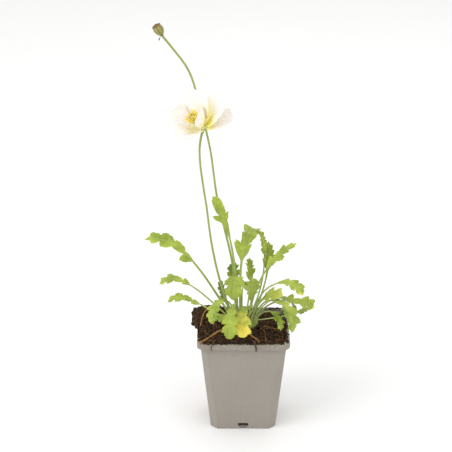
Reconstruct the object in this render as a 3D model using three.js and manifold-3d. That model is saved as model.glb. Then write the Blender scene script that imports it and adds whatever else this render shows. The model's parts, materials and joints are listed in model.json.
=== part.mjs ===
// Iceland poppy in a square nursery pot: a tuft of lobed leaves, one open flower, one seed head,
// potting soil and a few surface roots. Millimetres, +Z up, front of the pot towards -Y,
// origin at the centre of the pot's underside.
import * as THREE from 'three';
import Module from 'manifold-3d';

const wasm = await Module();
wasm.setup();
const { Manifold, Mesh } = wasm;

// ---- pot -------------------------------------------------------------------------------
const POT_HEIGHT = 97;
const POT_RIM_HALF = 45;
const POT_TOP_HALF = 41.5;
const POT_BASE_HALF = 32;
const POT_WALL = 1.2;
const LIP_HEIGHT = 5.8;
const LIP_CORNER = 9;
const BODY_CORNER_TOP = 8;
const BODY_CORNER_BASE = 11;
const FLOOR_UNDER = 2.5;
const FLOOR_TOP = 3.7;
const FOOT_DISC_RADIUS = 8;
const RIB_WIDTH = 1.4;
const RIB_LIFT = 0.6;
const SLOT_WIDTH = 10;
const SLOT_LOW = 3;
const SLOT_HIGH = 6.6;
const NOTCH_BOTTOM = 11;
const NOTCH_TOP = 5;
const NOTCH_HEIGHT = 3;

// ---- soil and crown --------------------------------------------------------------------
const GAP = 0.35;
const SOIL_LEVEL = 96;
const HEAP = { x: -36, y: 20, rise: 10.5, spread: 15 };
const SHOULDER = { x: -42, y: -6, rise: 6, spread: 12 };
const HOLLOW = { x: 26, y: 24, rise: -6.5, spread: 15 };
const OVERHANG = 5.6;
const CROWN = { x: 0, y: -0.3, wide: 14.8, deep: 9.9, low: 97.3, high: 101.1 };

// ---- leaves ----------------------------------------------------------------------------
// Outline of a blade as [position along it, left half width, right half width, forward reach],
// widths and reach in shares of the blade's full half width.
const OUTLINES = {
  divided: [[0.02, 0.16, 0.16, 0], [0.13, 0.75, 0.5, 0.35], [0.22, 0.18, 0.18, 0], [0.36, 0.5, 0.72, 0.4],
    [0.46, 0.42, 0.5, 0.1], [0.6, 0.95, 1, 0.35], [0.69, 0.62, 0.7, 0.1], [0.82, 0.8, 0.85, 0.3],
    [0.89, 0.5, 0.55, 0.05], [1, 0.16, 0.16, 0]],
  winged: [[0.02, 0.14, 0.14, 0], [0.16, 0.9, 0.72, 0.75], [0.27, 0.24, 0.22, 0.1], [0.42, 0.5, 0.82, 0.5],
    [0.5, 0.44, 0.5, 0.1], [0.66, 0.82, 0.78, 0.35], [0.74, 0.66, 0.6, 0.1], [0.86, 0.66, 0.6, 0.3],
    [0.92, 0.42, 0.38, 0.05], [1, 0.12, 0.12, 0]],
  crested: [[0.02, 0.14, 0.14, 0], [0.2, 0.3, 0.26, 0], [0.38, 0.46, 0.42, 0.1], [0.5, 1.25, 0.85, 0.6],
    [0.58, 0.52, 0.56, 0], [0.7, 0.64, 0.68, 0.1], [0.8, 0.62, 0.7, 0.1], [0.88, 0.5, 0.6, 0.05],
    [0.95, 0.36, 0.46, 0], [1, 0.16, 0.16, 0]],
  spoon: [[0.02, 0.14, 0.14, 0], [0.2, 0.42, 0.4, 0.1], [0.3, 0.74, 0.7, 0.35], [0.38, 0.6, 0.58, 0.05],
    [0.54, 0.98, 1, 0.35], [0.62, 0.8, 0.82, 0.05], [0.76, 0.9, 0.86, 0.35], [0.84, 0.6, 0.56, 0.05],
    [0.93, 0.46, 0.5, 0.1], [1, 0.2, 0.2, 0]],
  feather: [[0.02, 0.2, 0.2, 0], [0.18, 0.8, 0.6, 0.9], [0.28, 0.28, 0.26, 0.1], [0.4, 0.66, 0.95, 0.8],
    [0.5, 0.4, 0.42, 0.1], [0.62, 0.8, 0.72, 0.6], [0.7, 0.42, 0.44, 0.1], [0.82, 0.62, 0.6, 0.5],
    [0.9, 0.36, 0.34, 0.1], [1, 0.14, 0.14, 0]],
};
const LEAF_THICK = 0.8;
const BLADE_FOLD = 0.22;
const STALK_RINGS = 5;
const SPINE_STEPS = 96;

// foot = where the stalk leaves the crown; heading = compass of the leaf, 0 to the right and
// 90 to the back; launch and tip = its climb at foot and tip; bend = how late it turns over;
// sweep = sideways turn; stalk = half width of the stalk; blade = share of the length that is
// blade; wide = half width of the blade; roll = twist of the blade about its own line.
const LEAVES = {
  left_high: { foot: [-9.3, 1.5], heading: 178, length: 129, launch: 59, tip: -26, bend: 3.7, sweep: -12,
    stalk: 1.6, blade: 0.44, wide: 6.5, roll: -50, outline: 'divided' },
  left_mid: { foot: [-11.5, 4.5], heading: 177, length: 90, launch: 43, tip: -62, bend: 3.5, sweep: -21,
    stalk: 1.1, blade: 0.4, wide: 4.6, roll: -45, outline: 'divided' },
  left_low: { foot: [-12.5, 1], heading: 181, length: 72, launch: 30, tip: -58, bend: 3.4, sweep: -28,
    stalk: 1.1, blade: 0.52, wide: 4.4, roll: -40, outline: 'divided' },
  front_left: { foot: [-8.5, -6], heading: 231, length: 72, launch: 86, tip: -110, bend: 1.7, sweep: 9,
    stalk: 1.2, blade: 0.5, wide: 7.5, roll: 10, outline: 'spoon' },
  front_hang: { foot: [-5, -7.5], heading: 260, length: 83, launch: 96, tip: -110, bend: 1.2, sweep: -2,
    stalk: 1.3, blade: 0.5, wide: 9.5, roll: 0, outline: 'spoon' },
  front_yellow: { foot: [-1, -8], heading: 273, length: 71, launch: 96, tip: -110, bend: 1.2, sweep: -7,
    stalk: 1.2, blade: 0.52, wide: 8.5, roll: 8, outline: 'spoon' },
  front_right: { foot: [11.5, -3.8], heading: 318, length: 86, launch: 82, tip: -110, bend: 1.4, sweep: -7,
    stalk: 1.3, blade: 0.56, wide: 11, roll: -15, outline: 'spoon' },
  centre_arch: { foot: [-3.5, -4.2], heading: 258, length: 94, launch: 96, tip: -110, bend: 2.4, sweep: 3,
    stalk: 1.3, blade: 0.42, wide: 8.5, roll: 0, outline: 'spoon' },
  left_back_small: { foot: [-8, 5.5], heading: 133, length: 43, launch: 38, tip: 87, bend: 1.4, sweep: -1,
    stalk: 0.9, blade: 0.55, wide: 5.5, roll: 0, outline: 'feather' },
  centre_back: { foot: [-4.6, 7], heading: 115, length: 58, launch: 62, tip: 101, bend: 1.5, sweep: 2,
    stalk: 1, blade: 0.45, wide: 7, roll: 0, outline: 'spoon' },
  tall_left: { foot: [-5.6, 0.8], heading: 174, length: 134, launch: 89, tip: 60, bend: 2, sweep: 2,
    stalk: 1.5, blade: 0.36, wide: 8, roll: -70, outline: 'crested' },
  tall_centre: { foot: [-2, 3.8], heading: 58, length: 122, launch: 94, tip: -90, bend: 3.2, sweep: 16,
    stalk: 1.5, blade: 0.5, wide: 10, roll: 12, outline: 'winged' },
  tall_right_thin: { foot: [5, 6.8], heading: 49, length: 96, launch: 43, tip: 115, bend: 1, sweep: 3,
    stalk: 0.9, blade: 0.3, wide: 4, roll: 75, outline: 'feather' },
  tall_right: { foot: [8, 5.6], heading: 51, length: 82, launch: 47, tip: 100, bend: 1.3, sweep: 0,
    stalk: 1.1, blade: 0.38, wide: 7.5, roll: 10, outline: 'feather' },
  right_long: { foot: [5, 2.2], heading: 20, length: 96, launch: 81, tip: 17, bend: 1.5, sweep: 0,
    stalk: 1.3, blade: 0.42, wide: 5.5, roll: 30, outline: 'feather' },
  back_right_small: { foot: [2.2, 7.4], heading: 73, length: 64, launch: 50, tip: 113, bend: 1.4, sweep: 1,
    stalk: 0.9, blade: 0.4, wide: 5.5, roll: -10, outline: 'feather' },
  centre_right_up: { foot: [4.5, -3.6], heading: 320, length: 50, launch: 80, tip: 84, bend: 1.4, sweep: 0,
    stalk: 1.3, blade: 0.5, wide: 7.5, roll: -35, outline: 'spoon' },
  right_yellow_tip: { foot: [9.8, 0.6], heading: -1, length: 81, launch: 84, tip: -75, bend: 1.8, sweep: -7,
    stalk: 1.2, blade: 0.38, wide: 6.5, roll: 30, outline: 'spoon' },
  right_pale: { foot: [8.3, -2.6], heading: 329, length: 55, launch: 76, tip: -11, bend: 1.8, sweep: -2,
    stalk: 1.6, blade: 0.6, wide: 8.5, roll: 25, outline: 'spoon' },
  right_outer: { foot: [13, -0.8], heading: 349, length: 71, launch: 84, tip: -34, bend: 0.8, sweep: 2,
    stalk: 1.3, blade: 0.42, wide: 7.5, roll: 25, outline: 'divided' },
  right_dark: { foot: [11, 5.2], heading: 19, length: 60, launch: 63, tip: -95, bend: 1.5, sweep: -1,
    stalk: 1, blade: 0.42, wide: 7, roll: 10, outline: 'spoon' },
  right_low_thin: { foot: [12.8, 2.4], heading: 13, length: 59, launch: 1, tip: 18, bend: 1.4, sweep: 0,
    stalk: 0.9, blade: 0.4, wide: 5, roll: 10, outline: 'feather' },
  hook_small: { foot: [-1.2, 7.8], heading: 88, length: 60, launch: 96, tip: -110, bend: 1.9, sweep: -9,
    stalk: 0.8, blade: 0.35, wide: 4, roll: 30, outline: 'feather' },
  low_right_narrow: { foot: [9, -6], heading: 316, length: 59, launch: 55, tip: -110, bend: 2.2, sweep: -10,
    stalk: 0.9, blade: 0.4, wide: 5, roll: 10, outline: 'feather' },
  front_small: { foot: [2.5, -8], heading: 280, length: 33, launch: 96, tip: -28, bend: 2.1, sweep: -3,
    stalk: 0.9, blade: 0.5, wide: 5, roll: 0, outline: 'spoon' },
  low_left_small: { foot: [-11.5, -3.5], heading: 228, length: 27, launch: 73, tip: -59, bend: 1.5, sweep: 7,
    stalk: 0.9, blade: 0.5, wide: 4, roll: 0, outline: 'spoon' },
  low_right_dark: { foot: [6, -7.5], heading: 282, length: 21, launch: 53, tip: -44, bend: 1.5, sweep: -17,
    stalk: 1, blade: 0.6, wide: 4.5, roll: 0, outline: 'spoon' },
};
const YELLOWED = ['front_yellow', 'right_yellow_tip', 'right_pale'];

// ---- stems -----------------------------------------------------------------------------
const STEM_SIDES = 8;
const RINGS_PER_SPAN = 2;
const FLOWER_STEM = {
  path: [[-7, -2.4, 102.2], [-12.6, -2.8, 115], [-18, -3.2, 130], [-25, -4, 156], [-31, -6, 188],
    [-35.4, -8.5, 225], [-40.4, -11, 262], [-41.6, -12, 283], [-39.6, -13.3, 298], [-38, -13.8, 304.3]],
  radius: [1.4, 1.25, 1.15, 1.1, 1.05, 1, 1, 1, 1.1, 2.2],
};
const CAPSULE_STEM = {
  path: [[-5.2, 4.3, 102], [-7, 7, 114], [-10.2, 11, 156], [-18.1, 14, 193], [-26.1, 16, 229],
    [-31, 17, 268], [-36.1, 17, 294], [-41.5, 18, 316], [-46, 18, 334], [-49.7, 18, 346],
    [-54.6, 18, 356], [-62, 17.5, 366.5], [-69.2, 16.4, 376.2], [-74.8, 15, 383.6], [-76.06, 15, 385.63]],
  radius: [1.4, 1.25, 1.15, 1.1, 1.05, 1, 1, 1, 1, 1, 1, 1, 1, 1.05, 1.2],
};

// ---- flower ----------------------------------------------------------------------------
const FLOWER = { base: [-38.1, -13.9, 305], lean: [-0.56, -0.42, 0.72] };
const PETAL_FOOT = 3.3;
const PETAL_THICK = 0.55;
// turn = compass round the flower's own axis, climb = rise of the petal at foot and at tip
const PETALS = {
  petal_front: { turn: 234, launch: 40, tip: 34, bend: 1.3, length: 27, wide: 14, cup: 0.25, lift: 0.3 },
  petal_right: { turn: -14, launch: 6, tip: 2, bend: 1, length: 34, wide: 10, cup: 0.3, lift: 0.7 },
  petal_left: { turn: 168, launch: 54, tip: 78, bend: 1.2, length: 32, wide: 13, cup: 0.3, lift: 0.8 },
  petal_back_right: { turn: 10, launch: 20, tip: 27, bend: 1, length: 38, wide: 15, cup: 0.3, lift: 1.4 },
  petal_back: { turn: 66, launch: 52, tip: 58, bend: 1, length: 34, wide: 12.5, cup: 0.3, lift: 2.2 },
  petal_inner: { turn: 344, launch: 48, tip: 92, bend: 1.3, length: 25, wide: 8.8, cup: 0.4, lift: 2.3 },
};
const PETAL_OUTLINE = [[0, 0.1], [0.1, 0.24], [0.24, 0.55], [0.4, 0.82], [0.56, 0.97], [0.72, 1],
  [0.86, 0.87], [0.95, 0.62], [1, 0.34]];
const OVARY_PROFILE = [[1.2, 0.9], [3, 2.1], [9, 2.9], [14, 2.6], [15.6, 2.2], [16.3, 3], [17.1, 2.7]];
const STAMEN_PROFILE = [[3.8, 3.3], [11, 4], [16.4, 5], [18.8, 6.2], [20.2, 5.8], [19.4, 4.5],
  [15.6, 3.7], [10.6, 3.45]];

// ---- seed head -------------------------------------------------------------------------
const CAPSULE = { base: [-76.1, 15, 385.7], lean: [-0.53, 0, 0.85] };
const CAPSULE_PROFILE = [[0, 1.2], [0.8, 2.4], [2, 3.5], [4.2, 4.6], [6.4, 5], [8.3, 4.75], [9.5, 4.1],
  [9.9, 4.5], [10.7, 4.6], [11.2, 2.8]];
const CAPSULE_RIBS = 7;

// ---- surface roots and twigs -----------------------------------------------------------
const ROOTS = {
  root_left: { radius: 0.95, path: [[-20, -14], [-25, -19], [-31, -27], [-37, -35], [-43, -44]] },
  root_centre: { radius: 0.75, path: [[5, -18], [8, -24], [11, -31], [15, -38]] },
  root_thin: { radius: 0.5, path: [[20, -10], [21.5, -18], [21, -28], [22, -38]] },
  root_right: { radius: 0.5, path: [[17, -6], [22, 1], [28, -1], [32, -8]] },
  root_heap: { radius: 0.6, path: [[-33, 17], [-38, 9], [-40, -2], [-42, -13]] },
};
const TWIGS = {
  twig_left: { radius: 0.45,
    path: [[-27, -38, 99.2], [-29, -43, 99], [-30.6, -46.3, 97.4], [-31, -46.4, 92]] },
  twig_front: { radius: 0.8,
    path: [[9, -39, 99], [10.5, -43.5, 98.9], [11.6, -46.7, 97], [12, -46.8, 91.5]] },
};

const radians = (degrees) => degrees * Math.PI / 180;
const vec = (x, y, z) => new THREE.Vector3(x, y, z);
const lerp = (a, b, t) => a + (b - a) * t;

// ---- closed bodies from rings ----------------------------------------------------------
function signedVolume(points, faces) {
  const six = faces.reduce((sum, [a, b, c]) => (
    sum + points[a].dot(points[b].clone().cross(points[c]))), 0);
  return six / 6;
}

function loftBody(rings) {
  const count = rings[0].length;
  const points = rings.flat();
  const centre = (ring) => ring.reduce((s, p) => s.add(p), vec(0, 0, 0)).divideScalar(count);
  const first = points.push(centre(rings[0])) - 1;
  const last = points.push(centre(rings[rings.length - 1])) - 1;
  const faces = [];
  for (let k = 0; k < count; k += 1) {
    const next = (k + 1) % count;
    faces.push([first, next, k]);
    for (let row = 0; row < rings.length - 1; row += 1) {
      const a = row * count;
      faces.push([a + k, a + next, a + count + next], [a + k, a + count + next, a + count + k]);
    }
    const end = (rings.length - 1) * count;
    faces.push([last, end + k, end + next]);
  }
  if (signedVolume(points, faces) < 0) {
    faces.forEach((face) => face.reverse());
  }
  return { points, faces };
}

function bodyGeometry({ points, faces }) {
  const geometry = new THREE.BufferGeometry();
  const flat = points.flatMap((p) => [p.x, p.y, p.z]);
  geometry.setAttribute('position', new THREE.Float32BufferAttribute(flat, 3));
  geometry.setIndex(faces.flat());
  geometry.computeVertexNormals();
  return geometry;
}

function asManifold({ points, faces }) {
  return new Manifold(new Mesh({
    numProp: 3,
    vertProperties: new Float32Array(points.flatMap((p) => [p.x, p.y, p.z])),
    triVerts: new Uint32Array(faces.flat()),
  }));
}

function manifoldGeometry(solid) {
  const mesh = solid.getMesh();
  const geometry = new THREE.BufferGeometry();
  geometry.setAttribute('position', new THREE.Float32BufferAttribute(Array.from(mesh.vertProperties), 3));
  geometry.setIndex(Array.from(mesh.triVerts));
  return geometry;
}

// ---- square rings with rounded corners -------------------------------------------------
const CORNER_STEPS = 4;
const SIDE_STEPS = 4;

function squareRing(half, corner, z) {
  const ring = [];
  for (let quarter = 0; quarter < 4; quarter += 1) {
    const turn = radians(90 * quarter);
    const place = (x, y) => vec(
      x * Math.cos(turn) - y * Math.sin(turn), x * Math.sin(turn) + y * Math.cos(turn), z);
    for (let k = 0; k <= CORNER_STEPS; k += 1) {
      const a = radians(90) * (k / CORNER_STEPS);
      ring.push(place(half - corner + corner * Math.cos(a), half - corner + corner * Math.sin(a)));
    }
    for (let k = 1; k < SIDE_STEPS; k += 1) {
      const t = k / SIDE_STEPS;
      ring.push(place(lerp(half - corner, corner - half, t), half));
    }
  }
  return ring;
}

const wallHalf = (z) => lerp(POT_BASE_HALF, POT_TOP_HALF, z / (POT_HEIGHT - LIP_HEIGHT));
const wallCorner = (z) => lerp(BODY_CORNER_BASE, BODY_CORNER_TOP, z / POT_HEIGHT);

function frustum(low, high, inset) {
  const ring = (z) => squareRing(wallHalf(z) - inset, wallCorner(z) - inset, z);
  return asManifold(loftBody([ring(low), ring(high)]));
}

function plainBox(wide, deep, low, high) {
  return Manifold.cube([wide, deep, high - low], true).translate([0, 0, (low + high) / 2]);
}

function potLip() {
  const low = POT_HEIGHT - LIP_HEIGHT;
  const outer = [
    squareRing(POT_RIM_HALF - 0.6, LIP_CORNER, low),
    squareRing(POT_RIM_HALF, LIP_CORNER, low + 0.8),
    squareRing(POT_RIM_HALF, LIP_CORNER, POT_HEIGHT - 0.7),
    squareRing(POT_RIM_HALF - 0.7, LIP_CORNER, POT_HEIGHT),
  ];
  const groove = [
    squareRing(POT_RIM_HALF - POT_WALL - 0.3, LIP_CORNER - POT_WALL, low - 1),
    squareRing(POT_RIM_HALF - POT_WALL - 0.3, LIP_CORNER - POT_WALL, POT_HEIGHT - POT_WALL),
  ];
  return asManifold(loftBody(outer)).subtract(asManifold(loftBody(groove)));
}

function drainCutters() {
  const half = POT_BASE_HALF;
  const notch = asManifold(loftBody([
    [-1, 1].flatMap((s) => [vec(s * NOTCH_BOTTOM / 2, s * half, -1),
      vec(s * NOTCH_BOTTOM / 2, -s * half, -1)]),
    [-1, 1].flatMap((s) => [vec(s * NOTCH_TOP / 2, s * half, NOTCH_HEIGHT - 0.6),
      vec(s * NOTCH_TOP / 2, -s * half, NOTCH_HEIGHT - 0.6)]),
  ].map((ring) => ring.map((p) => vec(p.x, p.y * 1.2, p.z)))));
  const slot = plainBox(SLOT_WIDTH, 3 * half, SLOT_LOW, SLOT_HIGH);
  const middle = frustum(-1, 20, 2 * POT_WALL);
  const across = notch.add(slot).subtract(middle);
  return across.add(across.rotate([0, 0, 90]));
}

function makePot() {
  const shell = frustum(0, POT_HEIGHT - 0.5, 0)
    .subtract(frustum(FLOOR_TOP, POT_HEIGHT + 1, POT_WALL))
    .subtract(frustum(-1, FLOOR_UNDER, POT_WALL));
  const lip = potLip().subtract(frustum(0, POT_HEIGHT + 1, POT_WALL));
  const rib = plainBox(2.5 * POT_BASE_HALF, RIB_WIDTH, RIB_LIFT, FLOOR_UNDER + 0.2);
  const inside = frustum(0, FLOOR_UNDER + 0.3, POT_WALL / 2);
  const ribs = rib.rotate([0, 0, 45]).add(rib.rotate([0, 0, -45])).intersect(inside);
  const disc = Manifold.cylinder(FLOOR_UNDER + 0.2, FOOT_DISC_RADIUS, FOOT_DISC_RADIUS, 24);
  return manifoldGeometry(shell.add(lip).add(ribs).add(disc).subtract(drainCutters()));
}

// ---- soil ------------------------------------------------------------------------------
const mound = ({ x, y, rise, spread }, px, py) => (
  rise * Math.exp(-((px - x) ** 2 + (py - y) ** 2) / (2 * spread * spread)));

function soilHeight(x, y) {
  const lumps = 0.5 * Math.sin(0.31 * x + 1) * Math.cos(0.27 * y) + 0.35 * Math.sin(0.17 * x - 0.4 * y);
  const raw = SOIL_LEVEL + lumps + mound(HEAP, x, y) + mound(SHOULDER, x, y) + mound(HOLLOW, x, y);
  const near = Math.hypot((x - CROWN.x) / (CROWN.wide + 4), (y - CROWN.y) / (CROWN.deep + 5));
  return near < 1 ? Math.min(raw, CROWN.low - 0.5) : raw;
}

function soilEdge(reach, z) {
  const inset = POT_WALL + GAP + 0.15;
  return squareRing(wallHalf(z) - inset + reach, wallCorner(z) - inset, z);
}

function makeSoil() {
  const low = FLOOR_TOP + GAP;
  const brim = POT_HEIGHT + GAP + 0.4;
  const heaped = (p) => Math.min(1, Math.max(0, (soilHeight(p.x, p.y) - SOIL_LEVEL - 1.5) / 2.5));
  const edge = soilEdge(0, SOIL_LEVEL).map((p) => {
    const z = Math.min(soilHeight(p.x, p.y), SOIL_LEVEL + 0.4);
    const shrink = (wallHalf(z) - POT_WALL - GAP) / (wallHalf(SOIL_LEVEL) - POT_WALL - GAP);
    return vec(p.x * Math.min(1, shrink), p.y * Math.min(1, shrink), z);
  });
  const beside = (k) => [-1, 0, 1].map((step) => heaped(edge[(k + step + edge.length) % edge.length]));
  const raised = edge.map((_, k) => Math.max(...beside(k)));
  const rise = edge.map((p, k) => vec(p.x * 0.997, p.y * 0.997, lerp(p.z + 0.1, brim, raised[k])));
  const lip = edge.map((p, k) => {
    const out = lerp(0.985, (POT_RIM_HALF + OVERHANG) / wallHalf(SOIL_LEVEL), heaped(p));
    return vec(p.x * out, p.y * lerp(0.985, 1, heaped(p)), lerp(p.z + 0.2, brim + 0.3, raised[k]));
  });
  const shoulder = lip.map((p, k) => vec(p.x * 0.975, p.y * 0.975,
    lerp(edge[k].z + 0.4, Math.max(soilHeight(p.x, p.y) - 1.5, brim + 1.5), raised[k])));
  const inner = [0.84, 0.66, 0.48, 0.3, 0.12].map((share) => (
    edge.map((p) => vec(p.x * share, p.y * share, soilHeight(p.x * share, p.y * share)))));
  return loftBody([soilEdge(0, low), soilEdge(0, 50), edge, rise, lip, shoulder, ...inner]);
}

function makeCrown() {
  const ring = (share, z) => Array.from({ length: 20 }, (_, k) => {
    const a = radians(18 * k);
    return vec(CROWN.x + CROWN.wide * share * Math.cos(a), CROWN.y + CROWN.deep * share * Math.sin(a), z);
  });
  const middle = lerp(CROWN.low, CROWN.high, 0.5);
  return loftBody([ring(0.8, CROWN.low), ring(1, middle), ring(0.97, CROWN.high)]);
}

// ---- leaves ----------------------------------------------------------------------------
// Walks along a curved line and gives its place and its own forward, left and upper sides.
function walkSpine({ heading, length, launch, tip, bend, sweep = 0 }, start) {
  const frames = [];
  const at = start.clone();
  for (let k = 0; k <= SPINE_STEPS; k += 1) {
    const s = k / SPINE_STEPS;
    const climb = radians(launch + (tip - launch) * s ** bend);
    const turn = radians(heading + sweep * s);
    const level = vec(Math.cos(turn), Math.sin(turn), 0);
    const ahead = level.clone().multiplyScalar(Math.cos(climb)).add(vec(0, 0, Math.sin(climb)));
    const left = vec(-Math.sin(turn), Math.cos(turn), 0);
    frames.push({ at: at.clone(), ahead, left, upper: ahead.clone().cross(left) });
    at.addScaledVector(ahead, length / SPINE_STEPS);
  }
  return (s) => frames[Math.round(s * SPINE_STEPS)];
}

// One cross-section: the two edges and the middle points above and below.
function leafSection(frame, { left, right, reach, thick, fold, roll }) {
  const turn = radians(roll);
  const side = frame.left.clone().multiplyScalar(Math.cos(turn))
    .addScaledVector(frame.upper, Math.sin(turn));
  const upper = frame.upper.clone().multiplyScalar(Math.cos(turn))
    .addScaledVector(frame.left, -Math.sin(turn));
  const place = (across, up, forward) => frame.at.clone().addScaledVector(side, across)
    .addScaledVector(upper, up).addScaledVector(frame.ahead, forward);
  const inner = 0.45;
  return [
    place(left, fold * left, reach),
    place(left * inner, thick / 2 + fold * left * inner, reach * inner),
    place(-right * inner, thick / 2 + fold * right * inner, reach * inner),
    place(-right, fold * right, reach),
    place(-right * inner, -thick / 2 + fold * right * inner, reach * inner),
    place(left * inner, -thick / 2 + fold * left * inner, reach * inner),
  ];
}

function makeLeaf(leaf) {
  const footZ = CROWN.high + GAP + 0.7 * leaf.stalk * Math.cos(radians(leaf.launch));
  const spine = walkSpine(leaf, vec(leaf.foot[0], leaf.foot[1], Math.max(footZ, CROWN.high + GAP)));
  const start = 1 - leaf.blade;
  const stalk = Array.from({ length: STALK_RINGS }, (_, k) => {
    const s = start * k / STALK_RINGS;
    const half = lerp(leaf.stalk, leaf.stalk * 0.7, k / STALK_RINGS);
    return leafSection(spine(s), {
      left: half, right: half, reach: 0, thick: half * 1.4, fold: 0, roll: leaf.roll * s / start * 0.7,
    });
  });
  const blade = OUTLINES[leaf.outline].map(([t, left, right, reach]) => (
    leafSection(spine(start + leaf.blade * t), {
      left: left * leaf.wide,
      right: right * leaf.wide,
      reach: reach * leaf.wide * 0.5,
      thick: lerp(leaf.stalk, LEAF_THICK, Math.min(1, t * 2)),
      fold: BLADE_FOLD,
      roll: leaf.roll * lerp(0.7, 1, Math.min(1, t * 2)),
    })));
  return loftBody([...stalk, ...blade]);
}

// ---- round stems, roots and twigs ------------------------------------------------------
function tube(path, radii, rings, sides) {
  const curve = new THREE.CatmullRomCurve3(path, false, 'centripetal');
  const spans = path.length - 1;
  const out = [];
  let across = vec(0, 1, 0);
  for (let k = 0; k <= rings; k += 1) {
    const t = k / rings;
    const ahead = curve.getTangent(t);
    across = across.clone().addScaledVector(ahead, -across.dot(ahead)).normalize();
    const other = ahead.clone().cross(across);
    const cell = Math.min(spans - 1, Math.floor(t * spans));
    const radius = lerp(radii[cell], radii[cell + 1], t * spans - cell);
    out.push(Array.from({ length: sides }, (_, j) => {
      const a = radians(360 * j / sides);
      return curve.getPoint(t).addScaledVector(across, radius * Math.cos(a))
        .addScaledVector(other, radius * Math.sin(a));
    }));
  }
  return loftBody(out);
}

function makeStem({ path, radius }) {
  return tube(path.map((p) => vec(...p)), radius, RINGS_PER_SPAN * (path.length - 1), STEM_SIDES);
}

function makeRoot({ path, radius }) {
  const rimTop = (x, y) => (Math.max(Math.abs(x), Math.abs(y)) > 39 ? POT_HEIGHT + 0.4 : 0);
  const laid = path.map(([x, y]) => vec(x, y, Math.max(soilHeight(x, y), rimTop(x, y)) + radius + 0.9));
  const taper = laid.map((_, k) => radius * lerp(1, 0.6, k / (laid.length - 1)));
  return tube(laid, taper, 8, 6);
}

function makeTwig({ path, radius }) {
  const taper = path.map((_, k) => radius * lerp(1, 0.6, k / (path.length - 1)));
  return tube(path.map((p) => vec(...p)), taper, 8, 6);
}

// ---- flower and seed head --------------------------------------------------------------
function axisFrame({ base, lean }) {
  const up = vec(...lean).normalize();
  const right = vec(1, 0, 0).addScaledVector(up, -up.x).normalize();
  const back = up.clone().cross(right);
  return new THREE.Matrix4().makeBasis(right, back, up).setPosition(...base);
}

function makePetal(petal, frame) {
  const turn = radians(petal.turn);
  const start = vec(PETAL_FOOT * Math.cos(turn), PETAL_FOOT * Math.sin(turn), petal.lift);
  const spine = walkSpine({ ...petal, heading: petal.turn }, start);
  const across = [1, 0.55, 0, -0.55, -1, -0.55, 0, 0.55];
  const sides = [0, 1, 1, 1, 0, -1, -1, -1];
  const rings = PETAL_OUTLINE.map(([s, share]) => {
    const at = spine(s);
    const half = share * petal.wide;
    const reach = s > 0.9 ? -0.12 * petal.wide : 0;
    return across.map((v, k) => at.at.clone()
      .addScaledVector(at.left, v * half)
      .addScaledVector(at.upper, petal.cup * v * v * half + sides[k] * PETAL_THICK / 2)
      .addScaledVector(at.ahead, reach * v * v)
      .applyMatrix4(frame));
  });
  return loftBody(rings);
}

function turned(profile, frame, sides, rib) {
  return loftBody(profile.map(([h, r]) => Array.from({ length: sides }, (_, k) => {
    const a = radians(360 * k / sides);
    const reach = r * (1 + rib(k));
    return vec(reach * Math.cos(a), reach * Math.sin(a), h).applyMatrix4(frame);
  })));
}

function turnedRing(profile, frame, sides) {
  const rings = profile.map(([h, r]) => Array.from({ length: sides }, (_, k) => {
    const a = radians(360 * k / sides);
    const wave = 1 + 0.04 * Math.cos(a * 5);
    return vec(r * wave * Math.cos(a), r * wave * Math.sin(a), h).applyMatrix4(frame);
  }));
  const points = rings.flat();
  const faces = [];
  rings.forEach((_, row) => {
    const a = row * sides;
    const b = ((row + 1) % rings.length) * sides;
    for (let k = 0; k < sides; k += 1) {
      const next = (k + 1) % sides;
      faces.push([a + k, a + next, b + next], [a + k, b + next, b + k]);
    }
  });
  if (signedVolume(points, faces) < 0) {
    faces.forEach((face) => face.reverse());
  }
  return { points, faces };
}

function makeWitheredStamen(frame) {
  const path = [[-1.6, -0.5, -0.1], [-2.5, -0.8, -0.5], [-3.6, -1.2, -1.1], [-4.9, -1.5, -2.3]];
  const laid = path.map((p) => vec(...p).applyMatrix4(frame));
  return tube(laid, [0.3, 0.3, 0.4, 0.8], 6, 6);
}

// ---- assembly --------------------------------------------------------------------------
const part = new THREE.Group();
part.name = 'potted_iceland_poppy';

function addNode(name, geometry, colour, roughness) {
  const material = new THREE.MeshStandardMaterial({ color: colour, roughness, metalness: 0 });
  const node = new THREE.Mesh(geometry, material);
  node.name = name;
  part.add(node);
}

const flowerFrame = axisFrame(FLOWER);
const capsuleFrame = axisFrame(CAPSULE);
addNode('pot', makePot(), 0xa39c94, 0.6);
addNode('soil', bodyGeometry(makeSoil()), 0x3a2c20, 0.95);
addNode('crown', bodyGeometry(makeCrown()), 0x8c9a5c, 0.8);
Object.entries(LEAVES).forEach(([name, leaf]) => {
  const colour = YELLOWED.includes(name) ? 0xcfc94e : 0x94a741;
  addNode(`leaf_${name}`, bodyGeometry(makeLeaf(leaf)), colour, 0.6);
});
addNode('flower_stem', bodyGeometry(makeStem(FLOWER_STEM)), 0x93a85c, 0.6);
addNode('capsule_stem', bodyGeometry(makeStem(CAPSULE_STEM)), 0x8ea25a, 0.6);
Object.entries(PETALS).forEach(([name, petal]) => {
  addNode(name, bodyGeometry(makePetal(petal, flowerFrame)), 0xf6efe6, 0.7);
});
addNode('ovary', bodyGeometry(turned(OVARY_PROFILE, flowerFrame, 12, () => 0)), 0xc9cfa8, 0.7);
addNode('stamens', bodyGeometry(turnedRing(STAMEN_PROFILE, flowerFrame, 20)), 0xf0cf5a, 0.8);
addNode('seed_capsule', bodyGeometry(turned(CAPSULE_PROFILE, capsuleFrame, 2 * CAPSULE_RIBS,
  (k) => (k % 2 ? -0.09 : 0))), 0x92925b, 0.75);
addNode('withered_stamen', bodyGeometry(makeWitheredStamen(capsuleFrame)), 0x5a4630, 0.85);
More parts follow.
